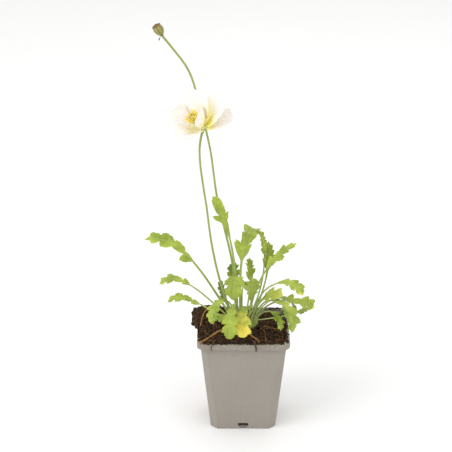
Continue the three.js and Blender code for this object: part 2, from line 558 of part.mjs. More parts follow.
Object.entries(ROOTS).forEach(([name, root]) => {
  addNode(name, bodyGeometry(makeRoot(root)), 0x8a5a30, 0.8);
});
Object.entries(TWIGS).forEach(([name, twig]) => {
  addNode(name, bodyGeometry(makeTwig(twig)), 0x4a3524, 0.9);
});

export default part;
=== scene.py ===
import json
import math
import random

import bmesh
import bpy
import numpy as np
from mathutils import Matrix, Vector
from mathutils.bvhtree import BVHTree


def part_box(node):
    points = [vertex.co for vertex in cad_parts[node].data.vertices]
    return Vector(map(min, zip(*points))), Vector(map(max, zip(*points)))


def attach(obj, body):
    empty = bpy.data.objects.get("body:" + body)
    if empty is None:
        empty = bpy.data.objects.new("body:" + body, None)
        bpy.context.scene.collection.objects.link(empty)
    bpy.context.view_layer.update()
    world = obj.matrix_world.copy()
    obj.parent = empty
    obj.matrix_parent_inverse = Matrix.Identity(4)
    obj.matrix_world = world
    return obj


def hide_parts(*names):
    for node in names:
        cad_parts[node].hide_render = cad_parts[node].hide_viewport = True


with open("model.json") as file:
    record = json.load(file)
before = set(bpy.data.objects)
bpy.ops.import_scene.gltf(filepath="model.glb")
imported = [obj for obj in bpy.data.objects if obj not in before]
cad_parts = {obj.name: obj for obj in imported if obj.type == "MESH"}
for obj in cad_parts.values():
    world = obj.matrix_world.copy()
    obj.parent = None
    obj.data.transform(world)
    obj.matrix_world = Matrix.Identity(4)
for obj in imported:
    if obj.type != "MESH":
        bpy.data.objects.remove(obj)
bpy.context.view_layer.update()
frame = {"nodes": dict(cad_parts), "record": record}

MM = 0.001

# ---- camera ----------------------------------------------------------------------------
# A long lens a little above the flower, looking slightly down at the front of the pot.
CAMERA_PLACE = (-0.0169, -1.334, 0.709)
CAMERA_DIP = 20.8
CAMERA_LENS = 118.3

camera = bpy.data.objects.new("camera", bpy.data.cameras.new("camera"))
camera.location = CAMERA_PLACE
camera.rotation_euler = (math.radians(90 - CAMERA_DIP), 0, 0)
camera.data.lens = CAMERA_LENS
camera.data.sensor_width = 36
bpy.context.scene.collection.objects.link(camera)
bpy.context.scene.camera = camera

# ---- pot -------------------------------------------------------------------------------
# The pot is a square nursery pot moulded in one shot from thin grey polypropylene. Its lip is
# rolled over and hangs free of the wall, its floor is set up on a skirt, and a drain slot and
# a notch are cut in the foot of each side.
POT_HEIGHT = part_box("pot")[1].z
RIM_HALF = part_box("pot")[1].x
RIM_CORNER = 9 * MM
WALL_TOP_HALF = 41.5 * MM
WALL_BASE_HALF = 32 * MM
WALL_THICK = 1.2 * MM
WALL_BASE_CORNER = 7 * MM
WALL_TOP_CORNER = 5.8 * MM
WALL_LEVELS = 14
LIP_DROP = 5.8 * MM
CORNER_FLATNESS = 0.85
CORNER_CRISP = 0.8 * MM
CORNER_STEPS = 12
SIDE_STEPS = 14
SHARP_ANGLE = 32
# The pot's section in millimetres: how far up or down, and how far in from the outer face.
FOOT_SECTION = ((2.5, 1.4), (0.3, 1.2), (0, 0.9), (0, 0.3), (0.3, 0), (1.2, 0))
LIP_INSIDE = ((1.3, 1.9), (1.8, 1.5), (5.5, 1.5), (5.8, 1.2))
LIP_OUTSIDE = ((5.8, 0.6), (5.55, 0.15), (5, 0), (1.1, 0), (0.5, 0.12), (0.12, 0.5), (0, 1.1))
MOUTH_SECTION = ((0, 0.7), (0.15, 1.1), (0.6, 1.2))
FLOOR_SECTION = ((4.2, 1.4), (3.7, 2.1))
FLOOR_UNDER = 2.5 * MM
FLOOR_TOP = 3.7 * MM
HUB_HALF = 14 * MM
HUB_CORNER = 5 * MM
RIB_LOW = (-37 * MM, -0.7 * MM, 0.7 * MM)
RIB_HIGH = (37 * MM, 0.7 * MM, 2.7 * MM)
DISC_SECTION = ((7.7, 0), (8, 0.3), (8, 2.7))
DISC_SIDES = 48
# Each side's notch and drain slot in millimetres: bottom, top, half width and taper.
FOOT_CUTS = ((-1, 2.4, 5.5, 2.6), (3, 6.6, 5, 0))


def tone(red, green, blue):
    """A colour given as 0 to 255 screen values, as the linear colour a shader takes."""
    def linear(c):
        c /= 255
        return c / 12.92 if c <= 0.04045 else ((c + 0.055) / 1.055) ** 2.4
    return (linear(red), linear(green), linear(blue), 1)


def put_in_scene(name, data):
    """Makes an object of this data and puts it in the scene."""
    thing = bpy.data.objects.new(name, data)
    bpy.context.scene.collection.objects.link(thing)
    return thing


def add_piece(name, mesh, material, node):
    """Puts a finished mesh in the scene, rides it on the plant and hides the CAD node it stands for."""
    mesh.validate()
    mesh.polygons.foreach_set("use_smooth", [True] * len(mesh.polygons))
    mesh.materials.clear()
    mesh.materials.append(material)
    piece = put_in_scene(name, mesh)
    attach(piece, "root")
    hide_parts(node)
    return piece


def new_material(name, roughness, inputs=None):
    """A material and its node tree, with these values set on its one Principled shader."""
    material = bpy.data.materials.new(name)
    material.use_nodes = True
    shader = material.node_tree.nodes["Principled BSDF"]
    for socket, value in {"Roughness": roughness, **(inputs or {})}.items():
        shader.inputs[socket].default_value = value
    return material, material.node_tree


def node_with(tree, kind, links=None, **settings):
    """Adds one node, sets what it is told and joins what feeds it."""
    node = tree.nodes.new(kind)
    for key, value in settings.items():
        setattr(node, key, value)
    for socket, source in (links or {}).items():
        target = node.inputs[socket]
        if isinstance(source, bpy.types.NodeSocket):
            tree.links.new(source, target)
        else:
            target.default_value = source
    return node


def combined(tree, operation, first, second, **settings):
    """One sum on two values, as a socket."""
    return node_with(tree, "ShaderNodeMath", {0: first, 1: second}, operation=operation,
                     **settings).outputs[0]


def blend_colours(tree, amount, first, second):
    """Mixes two colours by an amount and gives the colour socket."""
    return node_with(tree, "ShaderNodeMix", {0: amount, 6: first, 7: second}, data_type="RGBA").outputs[2]


def ranged(tree, value, low, high, at_low=0.0, at_high=1.0, **settings):
    """Maps a value that runs from low to high onto another range, and stops at its ends."""
    ends = {"Value": value, "From Min": low, "From Max": high, "To Min": at_low, "To Max": at_high}
    return node_with(tree, "ShaderNodeMapRange", ends, **settings).outputs[0]


def place_in(tree):
    """The place on the piece itself, as a socket."""
    return node_with(tree, "ShaderNodeTexCoord").outputs["Object"]


def height_in(tree):
    """The height above the ground, as a socket."""
    return node_with(tree, "ShaderNodeSeparateXYZ", {0: place_in(tree)}).outputs["Z"]


def make_mottle_group():
    """Shared effect: soft uneven patches over a surface, two sizes of them together."""
    group = bpy.data.node_groups.new("mottle", "ShaderNodeTree")
    for name in ("Size", "Sharpness", "Fine Share"):
        group.interface.new_socket(name, in_out="INPUT", socket_type="NodeSocketFloat")
    group.interface.new_socket("Value", in_out="OUTPUT", socket_type="NodeSocketFloat")
    given = group.nodes.new("NodeGroupInput").outputs
    put = group.nodes.new("NodeGroupOutput")
    place = place_in(group)
    broad = node_with(group, "ShaderNodeTexNoise", {"Vector": place, "Scale": given["Size"], "Detail": 3.0})
    finer = combined(group, "MULTIPLY", given["Size"], 6.3)
    fine = node_with(group, "ShaderNodeTexNoise", {"Vector": place, "Scale": finer, "Detail": 4.0})
    both = node_with(group, "ShaderNodeMix", {0: given["Fine Share"], 2: broad.outputs["Fac"],
                                              3: fine.outputs["Fac"]}, data_type="FLOAT")
    centred = combined(group, "ADD", both.outputs[0], -0.5)
    sharper = combined(group, "MULTIPLY", centred, given["Sharpness"])
    group.links.new(combined(group, "ADD", sharper, 0.5, use_clamp=True), put.inputs["Value"])
    return group


mottle_group = make_mottle_group()


def mottle(tree, size, sharpness=1.0, fine_share=0.3):
    """Places the mottle effect in a material and gives its value socket."""
    wanted = {"Size": size, "Sharpness": sharpness, "Fine Share": fine_share}
    return node_with(tree, "ShaderNodeGroup", wanted, node_tree=mottle_group).outputs["Value"]


def patchy(tree, pattern, dark, light):
    """Two screen colours in soft patches. The pattern is the mottle's size, sharpness, fine share."""
    return blend_colours(tree, mottle(tree, *pattern), tone(*dark), tone(*light))


def coat(material, colour, pattern, strength, depth):
    """Gives a material its colour and its small relief, and hands it back finished."""
    tree = material.node_tree
    shader = tree.nodes["Principled BSDF"]
    relief = {"Height": mottle(tree, *pattern), "Strength": strength, "Distance": depth}
    tree.links.new(colour, shader.inputs["Base Color"])
    tree.links.new(node_with(tree, "ShaderNodeBump", relief).outputs["Normal"], shader.inputs["Normal"])
    return material


def vary_roughness(material, pattern, smooth, rough):
    """Lets a material's roughness wander between two values."""
    tree = material.node_tree
    wander = ranged(tree, mottle(tree, *pattern), 0.0, 1.0, smooth, rough)
    tree.links.new(wander, tree.nodes["Principled BSDF"].inputs["Roughness"])


def mesh_from(work, name):
    """Turns a finished bmesh into a mesh whose closed shells all face out."""
    bmesh.ops.recalc_face_normals(work, faces=work.faces)
    mesh = bpy.data.meshes.new(name)
    work.to_mesh(mesh)
    work.free()
    return mesh


def mesh_of(name, points, faces, **marks):
    """A mesh from points and faces, with any colour marks that every point carries."""
    mesh = bpy.data.meshes.new(name)
    mesh.from_pydata(np.asarray(points, float).tolist(), [], faces)
    for mark, values in marks.items():
        painted = mesh.color_attributes.new(mark, "FLOAT_COLOR", "POINT")
        painted.data.foreach_set("color", np.asarray(values, float).ravel())
    work = bmesh.new()
    work.from_mesh(mesh)
    bmesh.ops.recalc_face_normals(work, faces=work.faces)
    work.to_mesh(mesh)
    work.free()
    return mesh


def skin_of(rings, first=0):
    """Points and faces of a closed skin over rings of equal count, with a fan at each end."""
    rings = np.asarray(rings, float)
    rows, sides = rings.shape[:2]
    points = np.concatenate([rings.reshape(-1, 3), rings[[0, -1]].mean(1)])
    number = first + np.arange(rows * sides).reshape(rows, sides)
    after = np.roll(number, -1, axis=1)
    faces = np.stack([number[:-1], after[:-1], after[1:], number[1:]], axis=-1).reshape(-1, 4).tolist()
    foot, head = first + rows * sides, first + rows * sides + 1
    faces += [(b, a, foot) for a, b in zip(number[0].tolist(), after[0].tolist())]
    faces += [(a, b, head) for a, b in zip(number[-1].tolist(), after[-1].tolist())]
    return points, faces


def square_ring(half, corner, z, flatness=0.0):
    """One level of the pot: a square with rounded or flattened corners, as a ring of points."""
    along = half - corner
    points = []
    for share in np.linspace(0, 1, CORNER_STEPS + 1):
        a = math.pi / 2 * share
        x = flatness * (1 - share) + (1 - flatness) * math.cos(a)
        y = flatness * share + (1 - flatness) * math.sin(a)
        points.append((along + corner * x, along + corner * y))
    spots = np.linspace(along, -along, SIDE_STEPS + 1)[2:-2]
    points += [(x, half) for x in (along - CORNER_CRISP, *spots, CORNER_CRISP - along)]
    return [(x * c - y * s, x * s + y * c, z)
            for c, s in ((1, 0), (0, 1), (-1, 0), (0, -1)) for x, y in points]


def block_mesh(name, low, high, taper=0.0):
    """A block, narrower across X at its top by the taper."""
    (x0, y0, z0), (x1, y1, z1) = low, high
    rings = [[(x0, y0, z0), (x1, y0, z0), (x1, y1, z0), (x0, y1, z0)],
             [(x0 + taper, y0, z1), (x1 - taper, y0, z1), (x1 - taper, y1, z1), (x0 + taper, y1, z1)]]
    return mesh_of(name, *skin_of(rings))


def turned_about(mesh, degrees):
    """A mesh turned about the pot's upright axis."""
    mesh.transform(Matrix.Rotation(math.radians(degrees), 4, "Z"))
    return mesh


def cut_away(mesh, cutters):
    """The mesh less every cutter."""
    body = put_in_scene("body", mesh)
    for cutter in cutters:
        cut = body.modifiers.new("cut", "BOOLEAN")
        cut.operation, cut.solver, cut.object = "DIFFERENCE", "EXACT", put_in_scene("cutter", cutter)
    graph = bpy.context.evaluated_depsgraph_get()
    result = bpy.data.meshes.new_from_object(body.evaluated_get(graph))
    for tool in [m.object for m in body.modifiers]:
        bpy.data.objects.remove(tool)
    bpy.data.objects.remove(body)
    return result


def wall_half(z):
    """Half the pot's width at this height, to the wall's outer face."""
    return WALL_BASE_HALF + (WALL_TOP_HALF - WALL_BASE_HALF) * z / (POT_HEIGHT - LIP_DROP)


def wall_ring(z, inset=0.0):
    """The wall's outline at this height, moved in by the inset."""
    corner = WALL_BASE_CORNER + (WALL_TOP_CORNER - WALL_BASE_CORNER) * z / POT_HEIGHT
    return square_ring(wall_half(z) - inset, corner - 0.6 * inset, z, CORNER_FLATNESS)


def make_pot_shell():
    """The pot's closed skin, from the middle of its underside out, up, over the lip and down inside."""
    rings = [square_ring(HUB_HALF, HUB_CORNER, FLOOR_UNDER)]
    rings += [wall_ring(up * MM, inset * MM) for up, inset in FOOT_SECTION]
    rings += [wall_ring(z) for z in np.linspace(6 * MM, POT_HEIGHT - LIP_DROP, WALL_LEVELS)]
    rings += [wall_ring(POT_HEIGHT - 1.5 * MM)]
    for section, corner in ((LIP_INSIDE, RIM_CORNER - WALL_THICK), (LIP_OUTSIDE, RIM_CORNER)):
        rings += [square_ring(RIM_HALF - inset * MM, corner, POT_HEIGHT - down * MM)
                  for down, inset in section]
    rings += [wall_ring(POT_HEIGHT - down * MM, inset * MM) for down, inset in MOUTH_SECTION]
    rings += [wall_ring(z, WALL_THICK) for z in np.linspace(POT_HEIGHT - 6 * MM, FLOOR_TOP + 2 * MM, 10)]
    rings += [wall_ring(up * MM, inset * MM) for up, inset in FLOOR_SECTION]
    rings += [square_ring(HUB_HALF, HUB_CORNER, FLOOR_TOP)]
    return mesh_of("pot", *skin_of(rings))


def make_pot_mesh():
    near, far = WALL_BASE_HALF - 3 * MM, WALL_BASE_HALF + 4 * MM
    cutters = [turned_about(block_mesh("cutter", (-wide * MM, near, low * MM), (wide * MM, far, high * MM),
                                       taper * MM), turn)
               for turn in (180, 0, 90, 270) for low, high, wide, taper in FOOT_CUTS]
    pot = cut_away(make_pot_shell(), cutters)
    work = bmesh.new()
    work.from_mesh(pot)
    for angle in (45, -45):
        work.from_mesh(turned_about(block_mesh("rib", RIB_LOW, RIB_HIGH), angle))
    turns = np.linspace(0, 2 * math.pi, DISC_SIDES, endpoint=False)
    disc = [[(r * MM * math.cos(a), r * MM * math.sin(a), z * MM) for a in turns] for r, z in DISC_SECTION]
    work.from_mesh(mesh_of("disc", *skin_of(disc)))
    work.to_mesh(pot)
    work.free()
    return pot


def make_pot_material():
    material, tree = new_material("grey_polypropylene", 0.55)
    place = place_in(tree)
    drawn_out = node_with(tree, "ShaderNodeMapping", {"Vector": place, "Scale": (1.0, 1.0, 0.06)})
    lines = node_with(tree, "ShaderNodeTexNoise", {"Vector": drawn_out.outputs[0], "Scale": 420.0,
                                                   "Detail": 3.0})
    streaks = ranged(tree, lines.outputs["Fac"], 0.45, 0.75, 0.0, 0.2)
    plastic = blend_colours(tree, streaks, patchy(tree, (28, 1.3, 0.2), (142, 135, 126), (152, 145, 136)),
                            tone(133, 125, 114))
    near_lip = ranged(tree, height_in(tree), 84 * MM, 96.5 * MM, 0.0, 0.75)
    dust = combined(tree, "MULTIPLY", mottle(tree, 60, 9, 0.55), near_lip)
    dusty = blend_colours(tree, dust, plastic, tone(128, 118, 98))
    dots = node_with(tree, "ShaderNodeTexVoronoi", {"Vector": place, "Scale": 95.0, "Randomness": 1.0})
    specks = combined(tree, "MULTIPLY", mottle(tree, 14, 30, 0.0),
                      ranged(tree, dots.outputs["Distance"], 0.03, 0.07, 0.55, 0.0))
    vary_roughness(material, (70, 1.5, 0.5), 0.45, 0.62)
    return coat(material, blend_colours(tree, specks, dusty, tone(112, 92, 62)), (420, 1.0, 0.6), 0.12,
                0.3 * MM)


pot = add_piece("nursery_pot", make_pot_mesh(), make_pot_material(), "pot")
pot.data.set_sharp_from_angle(angle=math.radians(SHARP_ANGLE))

# ---- soil ------------------------------------------------------------------------------
# Peat compost fills the pot and is heaped at the back left, where it hangs over the rim. It is
# loose dark crumb with bits of fibre, lying as it was pressed in round the root ball.
SOIL_GRAIN = 0.9 * MM
CLOD_COUNT = 900
SPILL_COUNT = 760
HEAP_CLODS = 70
WALL_CRUMBS = 34
FIBRE_COUNT = 230
FIBRE_SIDES = 5
FIBRE_POINTS = 8
LARGE_CLOD = 1.1 * MM
LUMP_KINDS = 900
STUCK_CRUMB = (-9.3 * MM, 83.7 * MM)
SPILL_SIDES = ("right", "right", "left", "left", "front", "front", "back")
dice = random.Random(11)


def ripple(points, size, seed):
    """Smooth uneven waves through space, about -1 to 1, with this wavelength."""
    draw = np.random.default_rng(seed)
    total = np.zeros(len(points))
    for _ in range(7):
        way = draw.normal(size=3)
        way *= draw.uniform(0.7, 1.5) * 2 * math.pi / size / np.linalg.norm(way)
        total += np.sin(points @ way + draw.uniform(0, 6.28))
    return total / 2.6


def crumble(points):
    """How far the soil stands up or sinks at each point."""
    return (1.0 * ripple(points, 9 * MM, 1) + 0.8 * ripple(points, 4 * MM, 2)
            + 0.6 * np.abs(ripple(points, 2.2 * MM, 3)) + 0.35 * ripple(points, 1.2 * MM, 4)) * MM


def ball_points(splits):
    """The corners and faces of a round ball of triangles, radius 1."""
    work = bmesh.new()
    bmesh.ops.create_icosphere(work, subdivisions=splits, radius=1.0)
    work.verts.index_update()
    points = np.array([v.co[:] for v in work.verts])
    faces = [[v.index for v in f.verts] for f in work.faces]
    work.free()
    return points, np.array(faces)


small_ball, large_ball = ball_points(1), ball_points(2)


def add_lump(store, centre, radius, seed, stretch=(1, 1, 1)):
    """Adds one irregular clod to a store of points and faces."""
    ball, faces = large_ball if radius > LARGE_CLOD else small_ball
    swell = 1 + 0.33 * ripple(ball + seed, 1.7, seed % 97)
    store[1].append(faces + sum(len(p) for p in store[0]))
    store[0].append(np.array(centre) + ball * swell[:, None] * radius * np.array(stretch))


def throw_clod(store, place, size, least, most):
    """Adds a clod of a chance shape, stretched between these shares along each axis."""
    kind = dice.randrange(LUMP_KINDS)
    add_lump(store, place, size, kind, [dice.uniform(*ends) for ends in zip(least, most)])


def join_store(work, store):
    """Puts every stored clod into a bmesh."""
    mesh = bpy.data.meshes.new("store")
    mesh.from_pydata(np.concatenate(store[0]).tolist(), [], np.concatenate(store[1]).tolist())
    work.from_mesh(mesh)
    bpy.data.meshes.remove(mesh)


def tube_mesh(work, path, radii, sides, across, squash=1.0):
    """A skin along a path in a bmesh, closed at both ends and flattened by the squash."""
    rings = []
    for k, point in enumerate(path):
        ahead = (path[min(k + 1, len(path) - 1)] - path[max(k - 1, 0)]).normalized()
        across = (across - ahead * across.dot(ahead)).normalized()
        other = ahead.cross(across)
        rings.append([work.verts.new(point + across * (math.cos(a) * radii[k])
                                     + other * (math.sin(a) * radii[k] * squash))
                      for a in np.linspace(0, 2 * math.pi, sides, endpoint=False)])
    for low, high in zip(rings, rings[1:]):
        for k in range(sides):
            work.faces.new((low[k], low[(k + 1) % sides], high[(k + 1) % sides], high[k]))
    work.faces.new(rings[0][::-1])
    work.faces.new(rings[-1])


def solid_tree(node):
    """A CAD node as a thing to drop points on."""
    mesh = frame["nodes"][node].data
    return BVHTree.FromPolygons([v.co for v in mesh.vertices], [tuple(p.vertices) for p in mesh.polygons])


soil_solid = solid_tree("soil")


def soil_top(x, y):
    """The place on top of the soil under this point, or nothing beyond its edge."""
    return soil_solid.ray_cast(Vector((x, y, 2 * POT_HEIGHT)), Vector((0, 0, -1)))[0]


def left_limit(y):
    """How far out the heap reaches past the left rim: only its back part hangs over."""
    backward = min(max((y + 9 * MM) / (15 * MM), 0), 1)
    return RIM_HALF - 0.4 * MM + 7 * MM * backward


def crumbled_soil():
    """The soil's solid with a fine, crumbly top that stays inside the pot's wall."""
    work = bmesh.new()
    work.from_mesh(frame["nodes"]["soil"].data)
    bmesh.ops.remove_doubles(work, verts=work.verts, dist=0.01 * MM)
    for _ in range(7):
        long = [e for e in work.edges if e.calc_length() > SOIL_GRAIN
                and min(v.co.z for v in e.verts) > POT_HEIGHT - 13 * MM]
        if not long:
            break
        bmesh.ops.subdivide_edges(work, edges=long, cuts=1)
        bmesh.ops.triangulate(work, faces=[f for f in work.faces if len(f.verts) > 3])
    work.normal_update()
    push = crumble(np.array([v.co[:] for v in work.verts]))
    for vertex, amount in zip(list(work.verts), push):
        if vertex.co.z > POT_HEIGHT - 7 * MM:
            beside = max(abs(vertex.co.x), abs(vertex.co.y))
            wall = wall_half(vertex.co.z) - WALL_THICK
            near_wall = vertex.co.z < POT_HEIGHT + 0.5 * MM and beside > wall - 1.6 * MM
            vertex.co += vertex.normal * (min(amount, 0) if near_wall else amount)
        if vertex.co.z > POT_HEIGHT - 2 * MM:
            vertex.co.x = max(vertex.co.x, -left_limit(vertex.co.y))
    return work


def add_heap_clods(clods):
    for _ in range(HEAP_CLODS):
        spot = soil_top(dice.uniform(-0.0505, -0.030), dice.uniform(0.002, 0.038))
        if spot is not None and spot.z > POT_HEIGHT and -spot.x < left_limit(spot.y) - 1 * MM:
            size = dice.uniform(1.5, 2.9) * MM
            throw_clod(clods, spot - Vector((0, 0, 0.2 * size)), size, (0.8, 0.8, 0.7), (1.1, 1.2, 1.0))


def add_wall_crumbs(clods):
    """Crumbs that stick to the outside of the pot, most of them on its right."""
    x, z = STUCK_CRUMB
    add_lump(clods, (x, -wall_half(z), z), 0.55 * MM, 3, (1.3, 0.4, 0.7))
    for _ in range(WALL_CRUMBS):
        z, across = dice.uniform(0.02, 0.088), dice.uniform(-0.03, 0.03)
        x, y = dice.choice(((wall_half(z), across), (wall_half(z), across), (-wall_half(z), across),
                            (across, wall_half(z))))
        add_lump(clods, (x, y, z), dice.uniform(0.2, 0.5) * MM, dice.randrange(LUMP_KINDS))


def add_top_clods(clods):
    for _ in range(CLOD_COUNT):
        spot = soil_top(dice.uniform(-0.05, 0.042), dice.uniform(-0.042, 0.042))
        if spot is None or spot.z < 0.08 or -spot.x > left_limit(spot.y) - 1 * MM:
            continue
        size = dice.choice((0.5, 0.7, 0.9, 1.2, 1.7)) * MM
        at_edge = max(abs(spot.x), abs(spot.y)) > wall_half(POT_HEIGHT) - WALL_THICK - size * 1.3
        if not at_edge or spot.z >= POT_HEIGHT + size:
            throw_clod(clods, spot + Vector((0, 0, size * 0.3)), size, (0.7, 0.7, 0.6), (1.3, 1.3, 1.0))


def add_spilled_clods(clods):
    """Small clods along the top of the wall, which hide the line where soil and pot meet."""
    inner, outer = wall_half(POT_HEIGHT) - WALL_THICK, RIM_HALF - 1.2 * MM
    for _ in range(SPILL_COUNT):
        side = dice.choice(SPILL_SIDES)
        along, size = dice.uniform(-outer, outer), dice.choice((0.5, 0.7, 0.9, 1.15)) * MM
        over = dice.triangular(inner - 0.6 * MM, outer, inner)
        x, y = {"right": (over, along), "left": (-over, along), "front": (along, -over),
                "back": (along, over)}[side]
        if min(abs(x), abs(y)) < outer - 5 * MM:
            throw_clod(clods, (x, y, POT_HEIGHT + size * 0.25), size, (0.8, 0.8, 0.5), (1.4, 1.4, 0.9))


def make_soil_mesh():
    work = crumbled_soil()
    clods = ([], [])
    add_heap_clods(clods)
    add_wall_crumbs(clods)
    add_top_clods(clods)
    add_spilled_clods(clods)
    join_store(work, clods)
    return mesh_from(work, "soil")


def fibre_path(spot):
    """A short bowed line lying on the crumb, as far as there is soil under it."""
    inner = wall_half(POT_HEIGHT) - WALL_THICK - 0.6 * MM
    heading, length = dice.uniform(0, math.pi), dice.uniform(3, 13) * MM
    curl, path = dice.uniform(-0.5, 0.5), []
    last = FIBRE_POINTS - 1
    for k in range(FIBRE_POINTS):
        along = (k / last - 0.5) * length
        bow = curl * along * along / (4 * MM) + dice.uniform(-0.3, 0.3) * MM
        x = spot.x + along * math.cos(heading) - bow * math.sin(heading)
        y = spot.y + along * math.sin(heading) + bow * math.cos(heading)
        under = soil_top(x, y)
        on_soil = max(abs(x), abs(y)) < inner or (under is not None and under.z > POT_HEIGHT + 1 * MM)
        if under is not None and on_soil and -x < left_limit(y) - 1 * MM:
            path.append(Vector((x, y, under.z + (1.6 * MM if k % last else 0.3 * MM))))
    return path


def make_fibre_mesh():
    """Loose rootlets lying over the crumb, each tapering to both ends."""
    work = bmesh.new()
    for _ in range(FIBRE_COUNT):
        spot = soil_top(dice.uniform(-0.048, 0.041), dice.uniform(-0.041, 0.041))
        if spot is None or spot.z < 0.085 or -spot.x > left_limit(spot.y) - 2 * MM:
            continue
        path = fibre_path(spot)
        if len(path) > FIBRE_POINTS / 2:
            radius = dice.uniform(0.12, 0.3) * MM
            shares = np.linspace(0, 1, len(path)) * 0.9 + 0.1
            radii = radius * (0.35 + 0.65 * np.sin(math.pi * shares))
            tube_mesh(work, path, radii, FIBRE_SIDES, Vector((0.3, 0.5, 0.8)).normalized())
    return mesh_from(work, "soil_fibres")


def make_soil_material():
    material, tree = new_material("peat_compost", 0.95, {"Specular IOR Level": 0.25})
    crumb = patchy(tree, (260, 2.6, 0.45), (17, 12, 8), (61, 45, 30))
    bits = ranged(tree, mottle(tree, 620, 9, 0.3), 0.75, 1.0, 0.0, 0.55)
    return coat(material, blend_colours(tree, bits, crumb, tone(122, 88, 54)), (700, 2.0, 0.5), 0.8,
                0.6 * MM)


def make_fibre_material():
    material, tree = new_material("rootlet", 0.85)
    return coat(material, patchy(tree, (160, 3.0, 0.4), (66, 44, 26), (142, 98, 56)), (1500, 1.6, 0.4),
                0.5, 0.2 * MM)


add_piece("potting_soil", make_soil_mesh(), make_soil_material(), "soil")
add_piece("soil_fibres", make_fibre_mesh(), make_fibre_material(), "soil")

# ---- crown -----------------------------------------------------------------------------
# The crown is the plant's short rootstock. The broad pale bases of the leaf stalks wrap it like
# scales, and between them sit a few brown remains of last season's leaves.
SHEATH_SIDES = 10
SHEATH_RADII = np.array((1.7, 2.1, 2.2, 2.1, 1.9, 1.75, 1.6, 1.3)) * MM
HUSK_COUNT = 26
HUSK_SIDES = 6
HUSK_RADII = np.array((1.0, 0.95, 0.75, 0.5, 0.15)) * MM
HUSK_TURN = 2.4
HEART_HALF = (11.8 * MM, 7.8 * MM, 3.2 * MM)
SHEATH_RING, STEM_RING = 6, 8


def welded(node):
    """A CAD node's corner points, each kept once, and which of them are joined by an edge."""
    mesh = frame["nodes"][node].data
    table, points, which = {}, [], []
    for v in mesh.vertices:
        key = tuple(round(c * 2e5) for c in v.co)
        if key not in table:
            table[key] = len(points)
            points.append(v.co.copy())
        which.append(table[key])
    near = [set() for _ in points]
    for polygon in mesh.polygons:
        corners = [which[i] for i in polygon.vertices]
        for a in corners:
            near[a].update(c for c in corners if c != a)
    return points, near


def walk_ring(level, near):
    """The points of one ring in the order they follow each other."""
    level = set(level)
    order = [min(level)]
    while len(order) < len(level):
        steps = sorted((near[order[-1]] & level) - set(order))
        order.append(steps[0])
    return order


def read_rings(node, count, start_near):
    """The cross-sections a grown CAD piece was made from, first the one nearest a given point."""
    points, near = welded(node)
    for tip in range(len(points)):
        if len(near[tip]) != count:
            continue
        levels, seen = [[tip]], {tip}
        while levels[-1]:
            following = sorted({q for p in levels[-1] for q in near[p]} - seen)
            seen.update(following)
            levels.append(following)
        levels.pop()
        if len(levels[-1]) == 1 and all(len(level) == count for level in levels[1:-1]):
            rings = [np.array([points[i][:] for i in walk_ring(level, near)]) for level in levels[1:-1]]
            ends = [np.linalg.norm(r.mean(0) - np.array(start_near)) for r in (rings[0], rings[-1])]
            return rings if ends[0] <= ends[1] else rings[::-1]
    raise ValueError("no rings in " + node)


CROWN_LOW, CROWN_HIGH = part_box("crown")
crown_middle = (CROWN_LOW + CROWN_HIGH) / 2
leaf_names = sorted(n for n in frame["nodes"] if n.startswith("leaf_"))
leaf_rings = {n: read_rings(n, SHEATH_RING, crown_middle) for n in leaf_names}
stem_rings = {n: read_rings(n, STEM_RING, crown_middle) for n in ("flower_stem", "capsule_stem")}


def add_sheath(work, rings):
    """The swollen base of one stalk, running in under the middle of the crown."""
    foot, above = Vector(rings[0].mean(0)), Vector(rings[1].mean(0))
    base = Vector((foot.x * 0.72, foot.y * 0.72, CROWN_LOW.z - 1.5 * MM))
    path = [base.lerp(foot, t) for t in np.linspace(0, 1, len(SHEATH_RADII) - 1)]
    path.append(foot + (above - foot).normalized() * 0.6 * MM)
    tube_mesh(work, path, SHEATH_RADII, SHEATH_SIDES, Vector((foot.x, foot.y, 0)).normalized(), 1.15)


def add_husk(work, k):
    """One papery remain of an old leaf base, leaning out of the crown."""
    a = HUSK_TURN * k
    out = Vector((math.cos(a), math.sin(a), 0))
    share = 0.55 + 0.45 * ((k * 7) % 10) / 10
    half = (CROWN_HIGH - CROWN_LOW) / 2
    place = crown_middle + Vector((half.x * out.x, half.y * out.y, 0)) * share
    place.z = CROWN_LOW.z - 1 * MM
    tip = place + Vector((out.x * 2.2, out.y * 1.8, 3.2 + (k % 4) * 0.9)) * MM
    middle = (place + tip) / 2 + (out + Vector((0, 0, -0.6))) * 0.7 * MM
    path = [place, (place + middle) / 2, middle, (middle + tip) / 2, tip]
    tube_mesh(work, path, HUSK_RADII, HUSK_SIDES, Vector((-out.y, out.x, 0)), 0.45)


def make_crown_mesh():
    work = bmesh.new()
    for rings in (*leaf_rings.values(), *stem_rings.values()):
        add_sheath(work, rings)
    for k in range(HUSK_COUNT):
        add_husk(work, k)
    heart = ([], [])
    add_lump(heart, crown_middle - Vector((0, 0, 2.6 * MM)), 1.0, 5, HEART_HALF)
    join_store(work, heart)
    return mesh_from(work, "crown")


def make_crown_material():
    material, tree = new_material("leaf_base", 0.7)
    climb = ranged(tree, height_in(tree), CROWN_LOW.z - 0.5 * MM, CROWN_HIGH.z)
    brown = patchy(tree, (500, 2), (78, 58, 36), (128, 104, 62))
    green = patchy(tree, (300, 2), (150, 165, 92), (190, 200, 140))
    return coat(material, blend_colours(tree, climb, brown, green), (900, 1.5), 0.5, 0.3 * MM)


add_piece("crown_sheaths", make_crown_mesh(), make_crown_material(), "crown")

